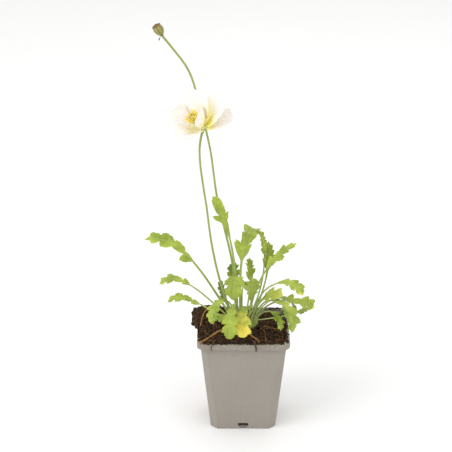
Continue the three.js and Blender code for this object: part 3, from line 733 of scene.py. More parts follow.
# ---- leaves ----------------------------------------------------------------------------
# Twenty-seven soft leaves grow from the crown, each a pale grooved stalk with a lobed blade. The
# midrib stands out below and sinks above, a side vein runs to each lobe, and the oldest blades
# are turning yellow.
STALK_RINGS = 5
STALK_STEPS = 7
BLADE_STEPS = 12
ACROSS_STEPS = 8
BLADE_THICK = 0.34 * MM
LOBE_ROUNDNESS = 0.55
LOBE_SWEEP = 0.42
BAY_SHARE = 0.5
BAY_HANGING = 0.26
BAY_DEEPEST = 0.36
VEIN_SLANT = 0.95
VEIN_HALF = 0.11
MIDRIB_HALF = 0.75 * MM
ROUND_ENDED = {"leaf_front_left", "leaf_front_hang", "leaf_front_yellow", "leaf_front_right",
               "leaf_centre_arch", "leaf_centre_right_up", "leaf_right_pale", "leaf_front_small",
               "leaf_low_left_small", "leaf_low_right_dark"}
# How slowly the first lobe swells from the stalk, where it isn't round.
LOBE_RISES = {"leaf_tall_centre": 1.7, "leaf_tall_left": 1.3, "leaf_tall_right": 1.0,
              "leaf_right_long": 0.9, "leaf_left_high": 0.8}
# The first lobe's share of its width, on the side that hangs lower and on the other.
SIDE_LOBES = {"leaf_left_high": (1.75, 0.55), "leaf_left_mid": (0.8, 1.5),
              "leaf_tall_centre": (0.95, 0.95)}
# How far the lobes point forward.
SWEEPS = {"leaf_tall_centre": 1.15, "leaf_tall_left": 0.7, "leaf_right_long": 0.7,
          "leaf_tall_right": 0.6, "leaf_left_high": 0.6}
# Share of the width kept at the blade's start, middle and end.
TAPERS = {
    "leaf_front_hang": (0.5, 0.72, 1.0), "leaf_front_left": (0.6, 0.9, 1.05),
    "leaf_front_yellow": (0.6, 0.95, 1.1), "leaf_left_high": (1.1, 1.1, 0.72),
    "leaf_tall_left": (0.85, 0.85, 0.8), "leaf_right_long": (1.15, 1.1, 0.8),
    "leaf_tall_centre": (1.0, 1.0, 0.85), "leaf_left_low": (1.0, 1.1, 0.75),
    "leaf_left_mid": (1.0, 1.1, 0.8),
}
# Where along the blade the yellow starts, over what length it comes in, and how strong it gets.
YELLOWING = {
    "leaf_front_yellow": (0.25, 0.35, 1.0), "leaf_right_yellow_tip": (0.78, 0.16, 0.8),
    "leaf_right_pale": (0.15, 1.2, 0.42), "leaf_right_outer": (0.93, 0.1, 0.7),
    "leaf_left_mid": (0.72, 0.3, 0.22), "leaf_tall_left": (0.96, 0.06, 0.35),
    "leaf_low_left_small": (0.6, 0.4, 0.15),
}
USUAL_YELLOWING = (0.97, 0.08, 0.25)
# How much painted shade darkens each leaf below the usual green.
PAINTED_SHADES = {
    "leaf_right_dark": 0.75, "leaf_hook_small": 0.6, "leaf_left_back_small": 0.45,
    "leaf_low_right_dark": 0.7, "leaf_centre_back": 0.3, "leaf_right_low_thin": 0.4,
    "leaf_left_high": 0.25, "leaf_back_right_small": 0.2, "leaf_centre_arch": 0.3,
}


def seed_of(name):
    return sum(ord(c) * (k + 3) for k, c in enumerate(name)) % 9973


def unit(v):
    return v / np.maximum(np.linalg.norm(v, axis=-1, keepdims=True), 1e-12)


def curve_through(values, at):
    """Reads a smooth curve through evenly numbered values."""
    last = len(values) - 1
    cell = np.clip(np.floor(at).astype(int), 0, last - 1)
    t = (at - cell).reshape((-1,) + (1,) * (values.ndim - 1))
    before, here = values[np.maximum(cell - 1, 0)], values[cell]
    there, after = values[cell + 1], values[np.minimum(cell + 2, last)]
    return 0.5 * (2 * here + (there - before) * t + (2 * before - 5 * here + 4 * there - after) * t ** 2
                  + (3 * here - before - 3 * there + after) * t ** 3)


def lobed(values, at, roundness, rise):
    """Reads half widths so that wide places swell into round lobes with narrow bays between."""
    last = len(values) - 1
    cell = np.clip(np.floor(at).astype(int), 0, last - 1)
    x = at - cell
    here, there = values[cell], values[cell + 1]
    rising = np.sin(math.pi / 2 * x) ** rise
    falling = np.sin(math.pi / 2 * (1 - x)) ** roundness
    return np.where(there > here, here + (there - here) * rising, there + (here - there) * falling)


def read_leaf(rings):
    """Turns a leaf's cross-sections into a midrib line, its own directions, and both half widths."""
    centres = np.array([r.mean(0) for r in rings])
    ahead = unit(np.gradient(centres, axis=0))
    pairs = []
    for ring, forward in zip(rings, ahead):
        flat = ring - np.outer((ring - ring.mean(0)) @ forward, forward)
        gaps = np.linalg.norm(flat[:, None] - flat[None, :], axis=2)
        a, b = np.unravel_index(gaps.argmax(), gaps.shape)
        if pairs:
            left, right = ring[a] - ring.mean(0), ring[b] - ring.mean(0)
            if (left - right) @ pairs[-1][2] < 0:
                a, b = b, a
        side = unit(flat[a] - flat[b])
        pairs.append((a, b, side))
    lift = 0.0
    for ring, forward, (a, b, side) in zip(rings, ahead, pairs):
        inner = np.delete(ring, [a, b], axis=0).mean(0)
        lift += ((ring[a] + ring[b]) / 2 - inner) @ np.cross(forward, side)
    if lift < 0:
        pairs = [(b, a, -side) for a, b, side in pairs]
    rows = []
    for ring, forward, (a, b, side) in zip(rings, ahead, pairs):
        upper = np.cross(forward, side)
        side = unit(np.cross(upper, forward))
        inner = np.delete(ring, [a, b], axis=0)
        base = inner.mean(0)
        across = (inner - base) @ side
        e_left, e_right = across[across > 0].mean(), across[across < 0].mean()
        a_left, a_right = (ring[a] - base) @ side, (ring[b] - base) @ side
        left, right = (a_left - e_left) / 0.55, (e_right - a_right) / 0.55
        middle = base + side * ((a_left - left) + (a_right + right)) / 2
        rows.append(dict(
            middle=middle, ahead=forward, side=side, upper=upper, left=left, right=right,
            reach_left=(ring[a] - base) @ forward, reach_right=(ring[b] - base) @ forward,
            lift_left=(ring[a] - base) @ upper, lift_right=(ring[b] - base) @ upper,
            thick=np.ptp(inner @ upper)))
    return {key: np.array([row[key] for row in rows]) for key in rows[0]}


def cut_bays(widths, hanging, seed):
    """Half widths with the bays between the lobes cut deeper on the side that hangs lower."""
    cut = widths.copy()
    for k in range(STALK_RINGS + 1, len(widths) - 1):
        low, high = sorted((widths[k - 1], widths[k + 1]))
        if widths[k] < low:
            share = BAY_SHARE - BAY_HANGING * hanging + 0.07 * math.sin(seed + 2.1 * k)
            share = min(share, BAY_DEEPEST) if widths[k] < 0.4 * low else share
            cut[k] = share * (low + high) / 2
        elif widths[k] > high:
            cut[k] *= 1.05
    cut[STALK_RINGS] *= 0.8
    return cut


def leaf_sides(name, leaf, at, blade, run):
    """For each side of a leaf: its half width, how far it reaches forward and how far it lifts."""
    numbers, seed = np.arange(len(leaf["left"])), seed_of(name)
    round_ended = name in ROUND_ENDED
    tooth, end_length, end_roundness = (0.17, 1.9, 0.7) if round_ended else (0.1, 1.3, 0.8)
    closing = np.clip((numbers[-1] - at) / end_length, 0, 1) ** end_roundness
    taper = 1 + (np.interp(run, (0, 0.5, 1), TAPERS.get(name, (1, 1, 1))) - 1) * blade
    sweep = SWEEPS.get(name, LOBE_SWEEP) * blade * (1 - 0.65 * run)
    rise = np.where(at < STALK_RINGS + 2, LOBE_RISES.get(name, LOBE_ROUNDNESS), LOBE_ROUNDNESS)
    sides = {}
    for sign, key in ((1, "left"), (-1, "right")):
        hanging = -sign * leaf["side"][STALK_RINGS:, 2].mean()
        widths = cut_bays(leaf[key], hanging, seed + sign)
        if name in SIDE_LOBES:
            widths[STALK_RINGS + 1] *= SIDE_LOBES[name][0 if hanging > 0 else 1]
        teeth = 1 + blade * (tooth * np.abs(np.sin(math.pi * at * 1.5 + seed + sign))
                             + 0.05 * np.sin(math.pi * at * 5 + 2 * seed))
        half = lobed(widths, at, LOBE_ROUNDNESS, rise) * taper * teeth * closing
        reach = (np.interp(at, numbers, leaf["reach_" + key]) * 1.1
                 + sweep * (half - 0.5 * closing * taper * np.interp(at, numbers, widths)))
        sides[sign] = half, reach, np.interp(at, numbers, leaf["lift_" + key])
    return sides


def lobe_tips(leaf):
    """The cross-sections where a leaf is widest, which are the ends of its side veins."""
    whole = leaf["left"] + leaf["right"]
    return np.array([k for k in range(STALK_RINGS + 1, len(whole) - 1)
                     if whole[k] > whole[k - 1] and whole[k] > whole[k + 1]])


def sheet_faces(top, bottom):
    """The faces of two grids of numbered points that share their border and face apart."""
    faces = []
    for grid, facing_down in ((top, False), (bottom, True)):
        a, b, c, d = grid[:-1, :-1], grid[:-1, 1:], grid[1:, 1:], grid[1:, :-1]
        corners = (a, d, c, b) if facing_down else (a, b, c, d)
        faces += np.stack(corners, axis=-1).reshape(-1, 4).tolist()
    return faces


def leaf_colours(name, points, marks, below):
    """A leaf's two marks: age, vein, underside and painted shade, and then blade, run and share across."""
    vein, run, across, blade = marks.T
    seed = seed_of(name)
    start, length, most = YELLOWING.get(name, USUAL_YELLOWING)
    noise = 0.12 * ripple(points, 9 * MM, seed + 5)
    age = np.clip((run + noise - start) / length, 0, 1) * most * np.clip(blade, 0, 1)
    # Painted shade: each leaf's listed darkening, made uneven over the blade and deepest along the midrib.
    painted_shade = np.clip(PAINTED_SHADES.get(name, 0.12 * (seed % 3)) + 0.22 * ripple(points, 24 * MM, seed + 8)
                    + 0.35 * np.exp(-(across / 0.3) ** 2) * blade, 0, 1)
    return (np.stack([age, vein, below, painted_shade], axis=1),
            np.stack([blade, run, across, np.ones(len(points))], axis=1))


def make_leaf_mesh(name):
    leaf = read_leaf(leaf_rings[name])
    last, seed = len(leaf["left"]) - 1, seed_of(name)
    at = np.concatenate([np.arange(0, STALK_RINGS, 1 / STALK_STEPS),
                         np.arange(STALK_RINGS, last, 1 / BLADE_STEPS), [float(last)]])
    blade = np.clip((at - STALK_RINGS + 0.6) / 1.6, 0, 1)
    run = np.clip((at - STALK_RINGS) / (last - STALK_RINGS), 0, 1)
    middle = curve_through(leaf["middle"], at)
    side = unit(curve_through(leaf["side"], at))
    ahead = unit(curve_through(leaf["ahead"], at))
    upper = unit(np.cross(ahead, side))
    thick = np.interp(at, np.arange(last + 1), leaf["thick"])
    rib_size = np.clip(1.15 - run, 0.2, 1) * MIDRIB_HALF
    sides, tips = leaf_sides(name, leaf, at, blade, run), lobe_tips(leaf)
    top, under, marks = [], [], []
    for v in np.sin(np.linspace(-1, 1, 2 * ACROSS_STEPS + 1) * math.pi / 2):
        share = abs(v)
        width, reach, lift = sides[1 if v >= 0 else -1]
        place = (middle + side * (v * width)[:, None] + ahead * (reach * share ** 1.2 * blade)[:, None]
                 + upper * (lift * share ** 1.4)[:, None])
        wave = ripple(place, 16 * MM, seed) * 0.9 + ripple(place, 6 * MM, seed + 1) * 0.45
        wave *= share ** 0.8 * blade * np.minimum(width / (5 * MM), 1)
        place = place + upper * (wave * MM)[:, None]
        off_vein = np.min(np.abs((at + VEIN_SLANT * (1 - share))[:, None] - tips[None, :]), axis=1)
        side_vein = np.exp(-(off_vein / VEIN_HALF) ** 2) * (1 - share) ** 0.7 * blade
        midrib = np.exp(-(v * width / MIDRIB_HALF) ** 2)
        thinning = 1 - share ** 10
        puff = ripple(place, 3.0 * MM, seed + 2) * 0.13 * MM * (1 - side_vein) * thinning
        stalk_half = thick * 0.5 * math.sqrt(max(0.0, 1 - v * v))
        groove = 0.28 * thick * np.exp(-(v / 0.35) ** 2)
        blade_top = BLADE_THICK / 2 * thinning - (0.16 * side_vein + 0.22 * midrib) * MM + puff
        blade_under = (BLADE_THICK / 2 + 0.2 * MM * side_vein) * thinning + rib_size * midrib - puff
        top.append(place + upper * ((stalk_half - groove) * (1 - blade) + blade_top * blade)[:, None])
        under.append(place - upper * (stalk_half * (1 - blade) + blade_under * blade)[:, None])
        marks.append(np.stack([np.maximum(midrib * blade, 0.85 * side_vein), run, share + 0 * run,
                               blade], axis=1))
    under, top, marks = np.array(under), np.array(top[1:-1]), np.array(marks)
    columns, rows = under.shape[:2]
    lower = np.arange(columns * rows).reshape(columns, rows)
    higher = lower.copy()
    higher[1:-1] = columns * rows + lower[:-2]
    faces = sheet_faces(higher, lower)
    faces += [[*lower[:, r].tolist(), *higher[-2:0:-1, r].tolist()] for r in (0, -1)]
    points = np.concatenate([under.reshape(-1, 3), top.reshape(-1, 3)])
    marks = np.concatenate([marks.reshape(-1, 4), marks[1:-1].reshape(-1, 4)])
    growth, blade_part = leaf_colours(name, points, marks, np.arange(len(points)) < columns * rows)
    return mesh_of(name, points, faces, growth=growth, blade=blade_part)


def marks_in(tree, name="growth"):
    """The three values of a mark painted on a mesh, as sockets."""
    painted = node_with(tree, "ShaderNodeAttribute", attribute_name=name)
    return tuple(node_with(tree, "ShaderNodeSeparateColor", {0: painted.outputs["Color"]}).outputs)


def make_leaf_material(name):
    material, tree = new_material(name, 0.55, {
        "Specular IOR Level": 0.35, "Subsurface Weight": 0.12, "Subsurface Radius": (0.6, 1.0, 0.2),
        "Subsurface Scale": 1 * MM})
    age, vein, below = marks_in(tree)
    # The dark greens are painted shade, mixed into the green by the growth mark's alpha.
    painted_shade = node_with(tree, "ShaderNodeAttribute", attribute_name="growth").outputs["Alpha"]
    patches = mottle(tree, 95, 3.4, 0.3)
    green = blend_colours(tree, patches, tone(128, 150, 42), tone(178, 190, 73))
    dark = blend_colours(tree, patches, tone(88, 112, 38), tone(126, 146, 52))
    green_with_painted_shade = blend_colours(tree, painted_shade, green, dark)
    back = blend_colours(tree, 0.5, green_with_painted_shade, tone(168, 184, 98))
    skin = blend_colours(tree, below, green_with_painted_shade, back)
    veined = blend_colours(tree, combined(tree, "MULTIPLY", vein, 0.4), skin, tone(186, 198, 108))
    stalk = patchy(tree, (240, 1.5, 0.3), (134, 156, 62), (172, 186, 98))
    at_foot = ranged(tree, height_in(tree), POT_HEIGHT + 4 * MM, POT_HEIGHT + 34 * MM, 0.75, 0.0)
    stalk = blend_colours(tree, at_foot, stalk, tone(198, 207, 146))
    whole = blend_colours(tree, marks_in(tree, "blade")[0], stalk, veined)
    yellow = patchy(tree, (170, 2.4, 0.4), (222, 204, 62), (236, 224, 104))
    vary_roughness(material, (300, 1.5, 0.5), 0.46, 0.66)
    return coat(material, blend_colours(tree, age, whole, yellow), (520, 1.6, 0.5), 0.55, 0.5 * MM)


leaf_finish = {name: make_leaf_material(name) for name in ("leaf_green", "leaf_yellowing")}
slot_of = {s["node"]: s["material_slot"] for s in frame["record"]["subparts"]}
for leaf_name in leaf_names:
    slot = slot_of[leaf_name]
    add_piece(leaf_name + "_blade", make_leaf_mesh(leaf_name), leaf_finish[slot], leaf_name)

# ---- stems -----------------------------------------------------------------------------
# Two leafless stems stand up from the crown, one to the open flower and a taller one to the seed
# capsule. They are slightly ribbed and carry short stiff hairs that stand straight out.
STEM_SIDES = 14
STEM_STEPS = 10
HAIR_COUNT = {"flower_stem": 330, "capsule_stem": 420}
HAIR_HALF = 0.055 * MM
HAIR_MARK = (0, 1, 0, 1)
CUP_RADII = np.array((0.9, 1.1, 1.35, 1.6, 1.85, 2.1, 2.3, 2.3, 2.0)) * MM
CUP_SIDES = 28
CUP_MARK = (0.5, 0, 1, 1)


def fine_line(rings, steps):
    """The middle line and half thickness of a grown piece, read more finely."""
    centres = np.array([r.mean(0) for r in rings])
    radii = np.array([np.linalg.norm(r - r.mean(0), axis=1).mean() for r in rings])
    at = np.linspace(0, len(rings) - 1, (len(rings) - 1) * steps + 1)
    return curve_through(centres, at), curve_through(radii[:, None], at)[:, 0]


def frames_along(line):
    """A line's own direction and two square to it at each of its points, without twist."""
    ahead = unit(np.gradient(line, axis=0))
    across = [unit(np.cross(ahead[0], np.array((0.2, 1.0, 0.1))))]
    for forward in ahead[1:]:
        across.append(unit(across[-1] - forward * (across[-1] @ forward)))
    across = np.array(across)
    return ahead, across, np.cross(ahead, across)


def turned_points(line, radii, sides, shape=None):
    """Rings of points round a line. Shape gives each point's share of the radius."""
    _, across, other = frames_along(line)
    angles = np.linspace(0, 2 * math.pi, sides, endpoint=False)
    share = 1.0 if shape is None else shape(np.linspace(0, 1, len(line))[:, None], angles[None, :])
    reach = share * radii[:, None]
    return (line[:, None] + across[:, None] * (np.cos(angles) * reach)[..., None]
            + other[:, None] * (np.sin(angles) * reach)[..., None])


def outward(line, which, turns):
    """The ways straight out from a line at these points and turns, and the ways along it."""
    ahead, across, other = frames_along(line)
    return (across[which] * np.cos(turns)[:, None] + other[which] * np.sin(turns)[:, None],
            ahead[which])


def growth_along(rows, sides, third=0.0):
    """The marks of a bare skin: how far along each point is, no hair, and a third value."""
    run = np.concatenate([np.repeat(np.linspace(0, 1, rows), sides), [0, 1]])
    return np.stack([run, 0 * run, third + 0 * run, 1 + 0 * run], axis=1)


class Skins:
    """Closed skins and hairs gathered for one mesh, every point with its marks."""

    def __init__(self):
        self.points, self.faces, self.marks = [], [], []

    def add(self, rings, marks):
        points, faces = skin_of(rings, sum(len(p) for p in self.points))
        self.points.append(points)
        self.faces += faces
        self.marks.append(np.broadcast_to(marks, (len(points), 4)))

    def add_hairs(self, roots, ways, lengths, half):
        """Adds one thin three-sided spike for each root, way and length."""
        first = sum(len(p) for p in self.points)
        for root, way, length in zip(roots, ways, lengths):
            a = unit(np.cross(way, np.array((0.3, 0.4, 0.86))))
            b = np.cross(way, a)
            foot = [root + half * (a * math.cos(t) + b * math.sin(t)) - way * half
                    for t in (0, 2.094, 4.189)]
            self.points.append(np.array(foot + [root + way * length]))
            self.marks.append(np.broadcast_to(HAIR_MARK, (4, 4)))
            self.faces += [(first + i, first + j, first + k)
                           for i, j, k in ((0, 1, 3), (1, 2, 3), (2, 0, 3), (0, 2, 1))]
            first += 4

    def mesh(self, name):
        return mesh_of(name, np.concatenate(self.points), self.faces, growth=np.concatenate(self.marks))


def cup_rings():
    """The small cup at the flower stem's tip that the petals grow from."""
    foot = stem_rings["flower_stem"][-1].mean(0)
    middle = np.array((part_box("ovary")[0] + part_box("ovary")[1]) / 2)
    line = foot + unit(middle - foot) * np.linspace(-1.6, 2.2, len(CUP_RADII))[:, None] * MM
    return turned_points(line, CUP_RADII, CUP_SIDES, lambda t, a: 1 + 0.04 * np.cos(9 * a))


def make_stem_mesh(name):
    line, radii = fine_line(stem_rings[name], STEM_STEPS)
    line[0] -= unit(line[1] - line[0]) * 2 * MM
    stem = Skins()
    stem.add(turned_points(line, radii * 0.98, STEM_SIDES,
                           lambda t, a: 1 + 0.035 * np.cos(7 * a + 3 * t) + 0.02 * np.sin(40 * t + a)),
             growth_along(len(line), STEM_SIDES))
    if name == "flower_stem":
        stem.add(cup_rings(), CUP_MARK)
    draw = np.random.default_rng(seed_of(name))
    spots = np.sort(draw.uniform(0.06, 0.995, HAIR_COUNT[name])) * (len(line) - 1)
    which = spots.astype(int)
    out, along = outward(line, which, draw.uniform(0, 2 * math.pi, len(spots)))
    ways = unit(out + along * draw.uniform(-0.1, 0.35, len(spots))[:, None])
    roots = line[which] + ways * (radii[which] * 0.9)[:, None]
    stem.add_hairs(roots, ways, draw.uniform(0.7, 1.7, len(spots)) * MM, HAIR_HALF)
    return stem.mesh(name)


def make_stem_material():
    material, tree = new_material("stem", 0.5, {
        "Subsurface Weight": 0.1, "Subsurface Radius": (0.6, 1.0, 0.2), "Subsurface Scale": 1 * MM})
    run, hair, cup = marks_in(tree)
    low = patchy(tree, (130, 2.0, 0.4), (120, 142, 62), (158, 176, 94))
    high = patchy(tree, (200, 2.0, 0.4), (126, 142, 66), (156, 168, 92))
    cupped = blend_colours(tree, cup, blend_colours(tree, run, low, high), tone(224, 224, 150))
    return coat(material, blend_colours(tree, hair, cupped, tone(176, 178, 132)), (1100, 1.4, 0.5), 0.35,
                0.2 * MM)


stem_finish = make_stem_material()
for stem_name in stem_rings:
    add_piece(stem_name + "_stalk", make_stem_mesh(stem_name), stem_finish, stem_name)

# ---- petals ----------------------------------------------------------------------------
# Six thin cream petals make an open bowl round the ovary, fixed by their narrow yellow bases at
# the stem's tip. The tissue is crinkled like crepe paper, with fine radiating folds and a
# ruffled, uneven margin.
PETAL_RING = 8
PETAL_ROWS = 72
PETAL_COLUMNS = 96
PETAL_THICK = 0.14 * MM
PETAL_BASE_SPREAD = 0.8
# How far each petal opens out past its CAD sheet, and how strong its yellow base is.
PETALS = {"petal_back_right": (1.5, 1.0), "petal_back": (1.32, 0.45), "petal_right": (1.15, 1.0),
          "petal_left": (1.15, 0.5), "petal_front": (1.1, 0.45), "petal_inner": (1.25, 0.8)}
flower_foot = stem_rings["flower_stem"][-1].mean(0)


def read_petal(rings):
    """Each cross-section as five places from one edge of the petal to the other."""
    sections, sides = [], []
    for ring in rings:
        gaps = np.linalg.norm(ring[:, None] - ring[None, :], axis=2)
        a, b = np.unravel_index(gaps.argmax(), gaps.shape)
        side = unit(ring[a] - ring[b])
        if sides and side @ sides[-1] < 0:
            a, b, side = b, a, -side
        sides.append(side)
        order = np.argsort(-(ring - ring.mean(0)) @ side)
        inner = [i for i in order if i not in (a, b)]
        middle = [ring[inner[k:k + 2]].mean(0) for k in (0, 2, 4)]
        sections.append([ring[a], *middle, ring[b]])
    return np.array(sections)


def petal_sheet(name, run, v):
    """The smooth middle surface of a petal as a grid of points from its base to its margin."""
    sections = read_petal(read_rings(name, PETAL_RING, flower_foot))
    places = np.interp(v, (-1, -0.55, 0, 0.55, 1), (0, 1, 2, 3, 4))
    fine = curve_through(sections, (len(sections) - 1) * run[:, 0])
    return np.array([curve_through(row, places) for row in fine])


def opened_out(sheet, run, opening):
    """The sheet spread to both sides of its middle line, most of all near the base."""
    middle = sheet[:, PETAL_COLUMNS // 2][:, None]
    spread = (1 + (opening - 1) * np.sin(np.clip(run * 1.6, 0, 1) * math.pi / 2)
              + PETAL_BASE_SPREAD * np.exp(-((run - 0.12) / 0.16) ** 2))
    return middle + (sheet - middle) * spread[..., None]


def petal_relief(smooth, run, v, angle, seed):
    """How many millimetres the tissue stands off its sheet, and the radiating folds by themselves."""
    folds = (np.sin(angle * 17 + seed + 1.5 * run) * 0.26 + np.sin(angle * 31 + 3 * seed - 2 * run) * 0.18
             + np.sin(angle * 47 + 5 * seed) * 0.06)
    flat = smooth.reshape(-1, 3)
    crinkle = ripple(flat, 5.5 * MM, seed) * 0.34 + ripple(flat, 2.4 * MM, seed + 3) * 0.15
    ruffle = np.sin(angle * 8 + seed * 0.7) * 1.1 + np.sin(angle * 15 + seed) * 0.5
    edge = np.clip((run - 0.55) / 0.45, 0, 1) ** 1.6 + 0.35 * np.abs(v) ** 4 * run
    return folds * run ** 0.8 + crinkle.reshape(folds.shape) * run + ruffle * edge * 0.9, folds


def make_petal_mesh(name):
    seed, (opening, stain) = seed_of(name), PETALS[name]
    run = np.linspace(0, 1, PETAL_ROWS)[:, None] ** 0.85
    v = np.sin(np.linspace(-1, 1, PETAL_COLUMNS) * math.pi / 2)
    smooth = petal_sheet(name, run, v)
    sheet = opened_out(smooth, run, opening)
    along = unit(np.gradient(sheet, axis=0))
    up = unit(np.cross(along, unit(np.gradient(sheet, axis=1))))
    angle = v + 0.03 * np.sin(9 * run + seed)
    margin = 0.05 * np.sin(angle * 8 + seed) + 0.025 * np.sin(angle * 19 + 2 * seed)
    length = np.linalg.norm(sheet[-1, PETAL_COLUMNS // 2] - sheet[0, PETAL_COLUMNS // 2])
    wide = np.linalg.norm(sheet[:, -1] - sheet[:, 0], axis=1)[:, None]
    ease = np.clip(wide / wide.max(), 0, 1) ** 1.5 * (1 - 0.6 * v ** 8)
    height, folds = petal_relief(smooth, run, v, angle, seed)
    sheet = sheet + along * (margin * length * np.clip((run - 0.7) / 0.3, 0, 1) ** 2)[..., None]
    sheet = sheet + up * (height * ease * MM)[..., None]
    thin = (PETAL_THICK / 2 * (1 - np.abs(v) ** 12) * (1 - run ** 40))[..., None]
    inside = np.zeros(folds.shape, bool)
    inside[1:-1, 1:-1] = True
    upper = np.arange(inside.size).reshape(inside.shape)
    lower = upper.copy()
    lower[inside] = inside.size + np.arange(inside.sum())
    top = np.where(inside[..., None], sheet + up * thin, sheet)
    points = np.concatenate([top.reshape(-1, 3), (sheet - up * thin)[inside]])
    marks = np.stack(np.broadcast_arrays(run, np.clip(0.5 + folds, 0, 1), stain, 1.0), axis=2)
    marks = np.concatenate([marks.reshape(-1, 4), marks[inside]])
    return mesh_of(name, points, sheet_faces(upper, lower), growth=marks)


def make_petal_material():
    material, tree = new_material("petal_tissue", 0.6, {
        "Specular IOR Level": 0.25, "Subsurface Weight": 0.5, "Subsurface Radius": (1.0, 0.85, 0.7),
        "Subsurface Scale": 3 * MM})
    run, fold, stain = marks_in(tree)
    cream = patchy(tree, (90, 1.8, 0.3), (249, 241, 233), (253, 248, 242))
    # Painted shade along the radiating folds: the cream darkens to a deeper cream where the fold mark is
    # high.
    cream_with_painted_fold_shade = blend_colours(tree, combined(tree, "MULTIPLY", fold, 0.35), cream, tone(244, 230, 214))
    at_base = ranged(tree, run, 0.16, 0.54, 1.0, 0.0, interpolation_type="SMOOTHSTEP")
    stained = combined(tree, "MULTIPLY", at_base, stain)
    return coat(material, blend_colours(tree, stained, cream_with_painted_fold_shade, tone(252, 238, 84)), (620, 1.2, 0.6), 0.25,
                0.2 * MM)


petal_finish = make_petal_material()
for petal_name in PETALS:
    add_piece(petal_name + "_tissue", make_petal_mesh(petal_name), petal_finish, petal_name)

# ---- ovary -----------------------------------------------------------------------------
# The green club in the middle of the flower is the seed vessel in its first days. It is ribbed,
# finely bristled, and its flat top carries the raised rays of the stigma.
OVARY_RING = 12
OVARY_RAYS = 7
OVARY_SIDES = 84
OVARY_BRISTLES = 170
OVARY_SEED = 5
OVARY_RAY_RADII = np.array((0.3, 0.3, 0.28, 0.26, 0.24, 0.15)) * MM
RAY_SIDES = 8

ovary_line, ovary_radii = fine_line(read_rings("ovary", OVARY_RING, flower_foot), 8)


def add_rays(skins, line, count, reach, rise, fall, radii, mark):
    """Raised rays over a line's flat end, which start at the rise and bend down by the fall."""
    ahead, across, other = frames_along(line)
    for a in 2 * math.pi * np.arange(count) / count:
        way = across[-1] * math.cos(a) + other[-1] * math.sin(a)
        ray = np.array([line[-1] + way * share * reach + ahead[-1] * (rise - fall * share ** 2) * MM
                        for share in np.linspace(0, 1, len(radii))])
        skins.add(turned_points(ray, radii, RAY_SIDES), mark)


def ovary_relief(t, a):
    """The ovary's share of its radius: shallow ribs, and a wider scalloped top."""
    return (1 + 0.05 * np.cos(OVARY_RAYS * a) * np.sin(math.pi * t)
            + 0.16 * (t > 0.93) * np.maximum(np.cos(OVARY_RAYS * a), -0.3))


def make_ovary_mesh():
    ovary = Skins()
    ovary.add(turned_points(ovary_line, ovary_radii * 0.97, OVARY_SIDES, ovary_relief),
              growth_along(len(ovary_line), OVARY_SIDES))
    add_rays(ovary, ovary_line, OVARY_RAYS, ovary_radii[-1] * 1.08, 0.55, 0.35, OVARY_RAY_RADII,
             (1, 0, 1, 1))
    draw = np.random.default_rng(OVARY_SEED)
    which = draw.integers(4, len(ovary_line) - 4, OVARY_BRISTLES)
    out, along = outward(ovary_line, which, draw.uniform(0, 2 * math.pi, OVARY_BRISTLES))
    ways = unit(out + along * 0.6)
    roots = ovary_line[which] + ways * (ovary_radii[which] * 0.88)[:, None]
    ovary.add_hairs(roots, ways, draw.uniform(0.4, 0.8, OVARY_BRISTLES) * MM, 0.05 * MM)
    return ovary.mesh("ovary")


def make_ovary_material():
    material, tree = new_material("ovary_skin", 0.5)
    skin = patchy(tree, (420, 1.6, 0.3), (172, 190, 92), (204, 214, 130))
    rayed = blend_colours(tree, marks_in(tree)[2], skin, tone(236, 226, 120))
    return coat(material, rayed, (1200, 1.4, 0.4), 0.3, 0.2 * MM)


add_piece("ovary_club", make_ovary_mesh(), make_ovary_material(), "ovary")

# ---- stamens ---------------------------------------------------------------------------
# A dense ring of stamens stands round the ovary: thin pale filaments, each with a golden anther
# held crosswise at its tip and heavy with pollen.
STAMEN_COUNT = 112
STAMEN_SEED = 23
STAMEN_TURN = 2.39996
STAMEN_POINTS = 9
FILAMENT_HALF = 0.11 * MM
FILAMENT_SIDES = 5
ANTHER_HALF = 0.36 * MM
ANTHER_SIDES = 8


def make_stamens_mesh():
    foot = ovary_line[0]
    forward = unit(ovary_line[-1] - foot)
    across = unit(np.cross(forward, np.array((0, 0, 1.0))))
    other = np.cross(forward, across)
    draw, stamens = np.random.default_rng(STAMEN_SEED), Skins()
    thin = np.full(STAMEN_POINTS, FILAMENT_HALF)
    for k in range(STAMEN_COUNT):
        turn = STAMEN_TURN * k + draw.uniform(-0.1, 0.1)
        way = across * math.cos(turn) + other * math.sin(turn)
        out, high = draw.uniform(3.9, 6.1), draw.uniform(13.5, 19.3)
        t = np.linspace(0, 1, STAMEN_POINTS)[:, None]
        line = foot + (way * (1.4 + (out - 1.4) * t ** 1.5) + forward * (1.6 + (high - 1.6) * t)
                       + across * 0.3 * np.sin(3 * t + k)) * MM
        stamens.add(turned_points(line, thin, FILAMENT_SIDES), (0, draw.uniform(0, 1), 0, 1))
        tangent = unit(across * draw.normal() + other * draw.normal() + forward * draw.uniform(-0.4, 0.9))
        for lobe in (-1, 1):
            shift = unit(np.cross(tangent, forward)) * 0.26 * lobe + forward * 0.25
            t = np.linspace(-1, 1, STAMEN_POINTS)
            anther = line[-1] + (shift + np.outer(t * draw.uniform(0.6, 0.9), tangent)) * MM
            thick = np.sqrt(np.maximum(1 - t ** 2 * 0.98, 0.02)) * ANTHER_HALF
            stamens.add(turned_points(anther, thick, ANTHER_SIDES), (1, draw.uniform(0, 1), 0, 1))
    return stamens.mesh("stamens")


def make_stamen_material():
    material, tree = new_material("pollen_and_filament", 0.75, {
        "Subsurface Weight": 0.1, "Subsurface Scale": 1 * MM})
    anther, gold, _ = marks_in(tree)
    filament = patchy(tree, (500, 1.5), (240, 226, 130), (250, 240, 176))
    pollen = patchy(tree, (1500, 2.2, 0.4), (246, 202, 46), (255, 236, 112))
    own = blend_colours(tree, gold, pollen, tone(252, 220, 84))
    return coat(material, blend_colours(tree, anther, filament, own), (2600, 2.0, 0.4), 0.6, 0.2 * MM)


add_piece("stamen_ring", make_stamens_mesh(), make_stamen_material(), "stamens")

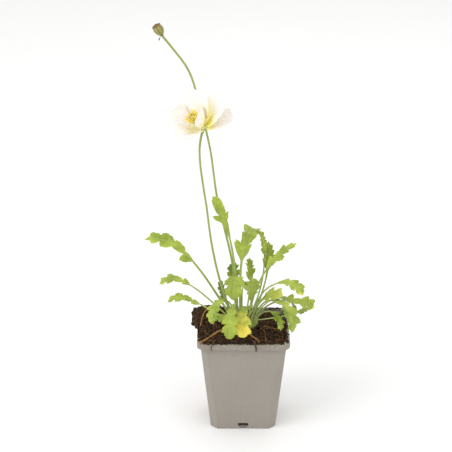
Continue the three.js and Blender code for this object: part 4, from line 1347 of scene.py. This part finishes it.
# ---- seed capsule ----------------------------------------------------------------------
# The older flower has set seed: an upright ribbed capsule, olive and bristly, closed by a brown
# wavy cap of dried stigma rays, on a dark collar where the petals fell.
CAPSULE_RING = 14
CAPSULE_RIBS = 7
CAPSULE_SIDES = 112
CAPSULE_BRISTLES = 240
CAPSULE_SEED = 9
CAPSULE_RAY_RADII = np.linspace(0.42, 0.3, 7) * MM

capsule_top = stem_rings["capsule_stem"][-1].mean(0)
capsule_rings = read_rings("seed_capsule", CAPSULE_RING, capsule_top)


def capsule_relief(t, a):
    """The capsule's share of its radius: ribs on its body, and a lid with a wavy margin."""
    body = np.sin(math.pi * np.clip(t / 0.82, 0, 1)) ** 0.7
    rib = np.abs(np.cos(CAPSULE_RIBS / 2 * a)) ** 6
    lid = np.clip((t - 0.84) / 0.04, 0, 1)
    return (0.965 + 0.05 * rib * body - 0.02 * body * (1 - rib)
            + lid * 0.07 * np.cos(CAPSULE_RIBS * a) + 0.012 * np.sin(23 * a + 9 * t) * body)


def make_capsule_mesh():
    line, radii = fine_line(capsule_rings, 7)
    rows = len(line)
    around = np.linspace(0, 2 * math.pi, CAPSULE_SIDES, endpoint=False)
    rib = np.append(np.tile(np.abs(np.cos(CAPSULE_RIBS / 2 * around)) ** 4, rows), (0, 0))
    capsule = Skins()
    capsule.add(turned_points(line, radii, CAPSULE_SIDES, capsule_relief),
                growth_along(rows, CAPSULE_SIDES, rib))
    add_rays(capsule, line, CAPSULE_RIBS, radii[-3], 0.35, 0.75, CAPSULE_RAY_RADII, (1, 0, 0, 1))
    draw = np.random.default_rng(CAPSULE_SEED)
    which = draw.integers(int(rows * 0.12), int(rows * 0.8), CAPSULE_BRISTLES)
    out, along = outward(line, which, draw.uniform(0, 2 * math.pi, CAPSULE_BRISTLES))
    roots = line[which] + out * (radii[which] * 0.95)[:, None]
    lengths = draw.uniform(0.4, 0.9, CAPSULE_BRISTLES) * MM
    capsule.add_hairs(roots, unit(out + along * 0.9), lengths, 0.06 * MM)
    return capsule.mesh("seed_capsule")


def make_capsule_material():
    material, tree = new_material("seed_capsule_skin", 0.6)
    run, bristle, rib = marks_in(tree)
    olive = patchy(tree, (330, 2.2, 0.4), (122, 118, 52), (170, 172, 96))
    banded = blend_colours(tree, combined(tree, "MULTIPLY", rib, 0.6), olive, tone(104, 82, 42))
    brown = patchy(tree, (600, 2.2, 0.4), (88, 58, 30), (146, 102, 52))
    capped = blend_colours(tree, ranged(tree, run, 0.76, 0.86), banded, brown)
    collar = combined(tree, "MULTIPLY", ranged(tree, run, 0.07, 0.2, 0.85, 0.0),
                      combined(tree, "SUBTRACT", 1.0, bristle))
    collared = blend_colours(tree, collar, capped, tone(60, 46, 30))
    haired = blend_colours(tree, bristle, collared, tone(178, 168, 122))
    return coat(material, haired, (1500, 1.8, 0.4), 0.5, 0.2 * MM)


add_piece("capsule_body", make_capsule_mesh(), make_capsule_material(), "seed_capsule")

# ---- withered stamen -------------------------------------------------------------------
# One dead stamen of the older flower still hangs under the capsule's collar, a dark curled thread
# with a shrivelled anther at its end.
WITHERED_RING = 6
WITHERED_SIDES = 16


def withered_relief(t, a):
    """The dead stamen's share of its radius: shrivelled all over, thinner at the collar's end."""
    return (0.85 + 0.14 * np.sin(3 * a + 9 * t) + 0.12 * np.sin(31 * t + 2 * a)
            - 0.35 * np.clip(1 - t / 0.55, 0, 1))


def make_withered_mesh():
    line, radii = fine_line(read_rings("withered_stamen", WITHERED_RING, capsule_top), 6)
    line[0] += unit(capsule_rings[0].mean(0) - line[0]) * 0.6 * MM
    rings = turned_points(line, radii, WITHERED_SIDES, withered_relief)
    return mesh_of("withered_stamen", *skin_of(rings))


def make_withered_material():
    material, tree = new_material("withered_thread", 0.8)
    return coat(material, patchy(tree, (900, 2.0, 0.3), (62, 46, 58), (122, 100, 96)), (1800, 1.8, 0.4),
                0.7, 0.2 * MM)


add_piece("withered_thread", make_withered_mesh(), make_withered_material(),
          "withered_stamen")

# ---- roots and twigs -------------------------------------------------------------------
# Woody roots lie half out of the compost and two bits of dark twig stick out over the rim. The
# bark is wrinkled along its length, with knots and a few finer side rootlets.
BARK_RING = 6
BARK_SIDES = 18
BARK_GIRTH = {"root_left": 1.35, "root_centre": 1.3, "root_heap": 1.1, "twig_left": 1.4,
              "twig_front": 1.35}
ROOTLET_POINTS = 8
ROOTLET_SIDES = 6


def make_bark_mesh(name, rootlets):
    seed = seed_of(name)
    line, radii = fine_line(read_rings(name, BARK_RING, crown_middle), 8)
    radii = radii * BARK_GIRTH.get(name, 1.0)
    rings = turned_points(line, radii, BARK_SIDES,
                          lambda t, a: 0.94 + 0.1 * np.sin(5 * a + 4 * t + seed) * (0.6 + 0.4 * np.sin(9 * t))
                          + 0.08 * np.sin(26 * t + seed + a) + 0.05 * np.sin(61 * t + 3 * a))
    skin, faces = skin_of(rings)
    points = [skin]
    ahead, across, other = frames_along(line)
    draw = np.random.default_rng(seed)
    for _ in range(rootlets):
        k = int(draw.integers(6, len(line) - 6))
        turn = draw.uniform(0, 2 * math.pi)
        way = unit(across[k] * math.cos(turn) + other[k] * math.sin(turn) + ahead[k] * 0.8)
        t = np.linspace(0, 1, ROOTLET_POINTS)[:, None]
        size = draw.uniform(2.0, 4.5) * MM
        path = line[k] + way * t * size + ahead[k] * t ** 2 * size * 0.8
        path[:, 2] = np.maximum(path[:, 2], line[k][2] - 0.4 * MM)
        thinning = radii[k] * np.linspace(0.34, 0.08, ROOTLET_POINTS)
        rootlet, added = skin_of(turned_points(path, thinning, ROOTLET_SIDES), sum(len(p) for p in points))
        points.append(rootlet)
        faces += added
    return mesh_of(name, np.concatenate(points), faces)


def make_bark_material(name, dark, light, knot):
    material, tree = new_material(name, 0.75)
    knots = ranged(tree, mottle(tree, 130, 5, 0.4), 0.7, 1.0, 0.0, 0.8)
    bark = blend_colours(tree, knots, patchy(tree, (210, 2.4, 0.45), dark, light), tone(*knot))
    return coat(material, bark, (900, 2.2, 0.5), 0.7, 0.3 * MM)


# The bark's dark, light and knot colours, and how many side rootlets each piece has.
BARKS = {"root": ((138, 88, 38), (204, 150, 84), (84, 54, 28), 4),
         "twig": ((50, 36, 26), (96, 72, 50), (34, 26, 20), 0)}
for kind, (*colours, rootlets) in BARKS.items():
    bark_finish = make_bark_material(kind + "_bark", *colours)
    for bark_name in sorted(n for n in frame["nodes"] if n.startswith(kind + "_")):
        add_piece(bark_name + "_bark", make_bark_mesh(bark_name, rootlets), bark_finish, bark_name)

# ---- floor and light -------------------------------------------------------------------
# A plain near-white floor, a wide soft light high on the left, weaker ones on the right and
# behind, and an even pale surround.
FLOOR_HALF = 6.0
SURROUND_STRENGTH = 0.93
LIGHT_AIM = Vector((0, 0, 0.15))
# Each light's place, width and strength.
LIGHTS = {"key": ((-1.3, -0.9, 1.2), 1.2, 13), "fill": ((1.2, -1.0, 1.0), 1.4, 5),
          "back": ((0.2, 1.4, 1.5), 1.2, 4)}

floor_mesh = bpy.data.meshes.new("floor")
floor_mesh.from_pydata([(-FLOOR_HALF, -FLOOR_HALF, 0), (FLOOR_HALF, -FLOOR_HALF, 0),
                        (FLOOR_HALF, FLOOR_HALF, 0), (-FLOOR_HALF, FLOOR_HALF, 0)], [], [(0, 1, 2, 3)])
floor = put_in_scene("floor", floor_mesh)
floor_paint, floor_tree = new_material("floor_paint", 0.9, {"Specular IOR Level": 0.1})
floor_tint = patchy(floor_tree, (3,), (243, 243, 242), (246, 246, 245))
floor_tree.links.new(floor_tint, floor_tree.nodes["Principled BSDF"].inputs["Base Color"])
floor_mesh.materials.append(floor_paint)

for light_name, (place, size, power) in LIGHTS.items():
    light = put_in_scene(light_name, bpy.data.lights.new(light_name, "AREA"))
    light.data.size = size
    light.data.energy = power
    light.location = place
    light.rotation_euler = (LIGHT_AIM - Vector(place)).to_track_quat("-Z", "Y").to_euler()

world = bpy.data.worlds.new("surround")
bpy.context.scene.world = world
world.use_nodes = True
world.node_tree.nodes["Background"].inputs["Color"].default_value = (1, 1, 1, 1)
world.node_tree.nodes["Background"].inputs["Strength"].default_value = SURROUND_STRENGTH
bpy.context.scene.view_settings.view_transform = "Standard"
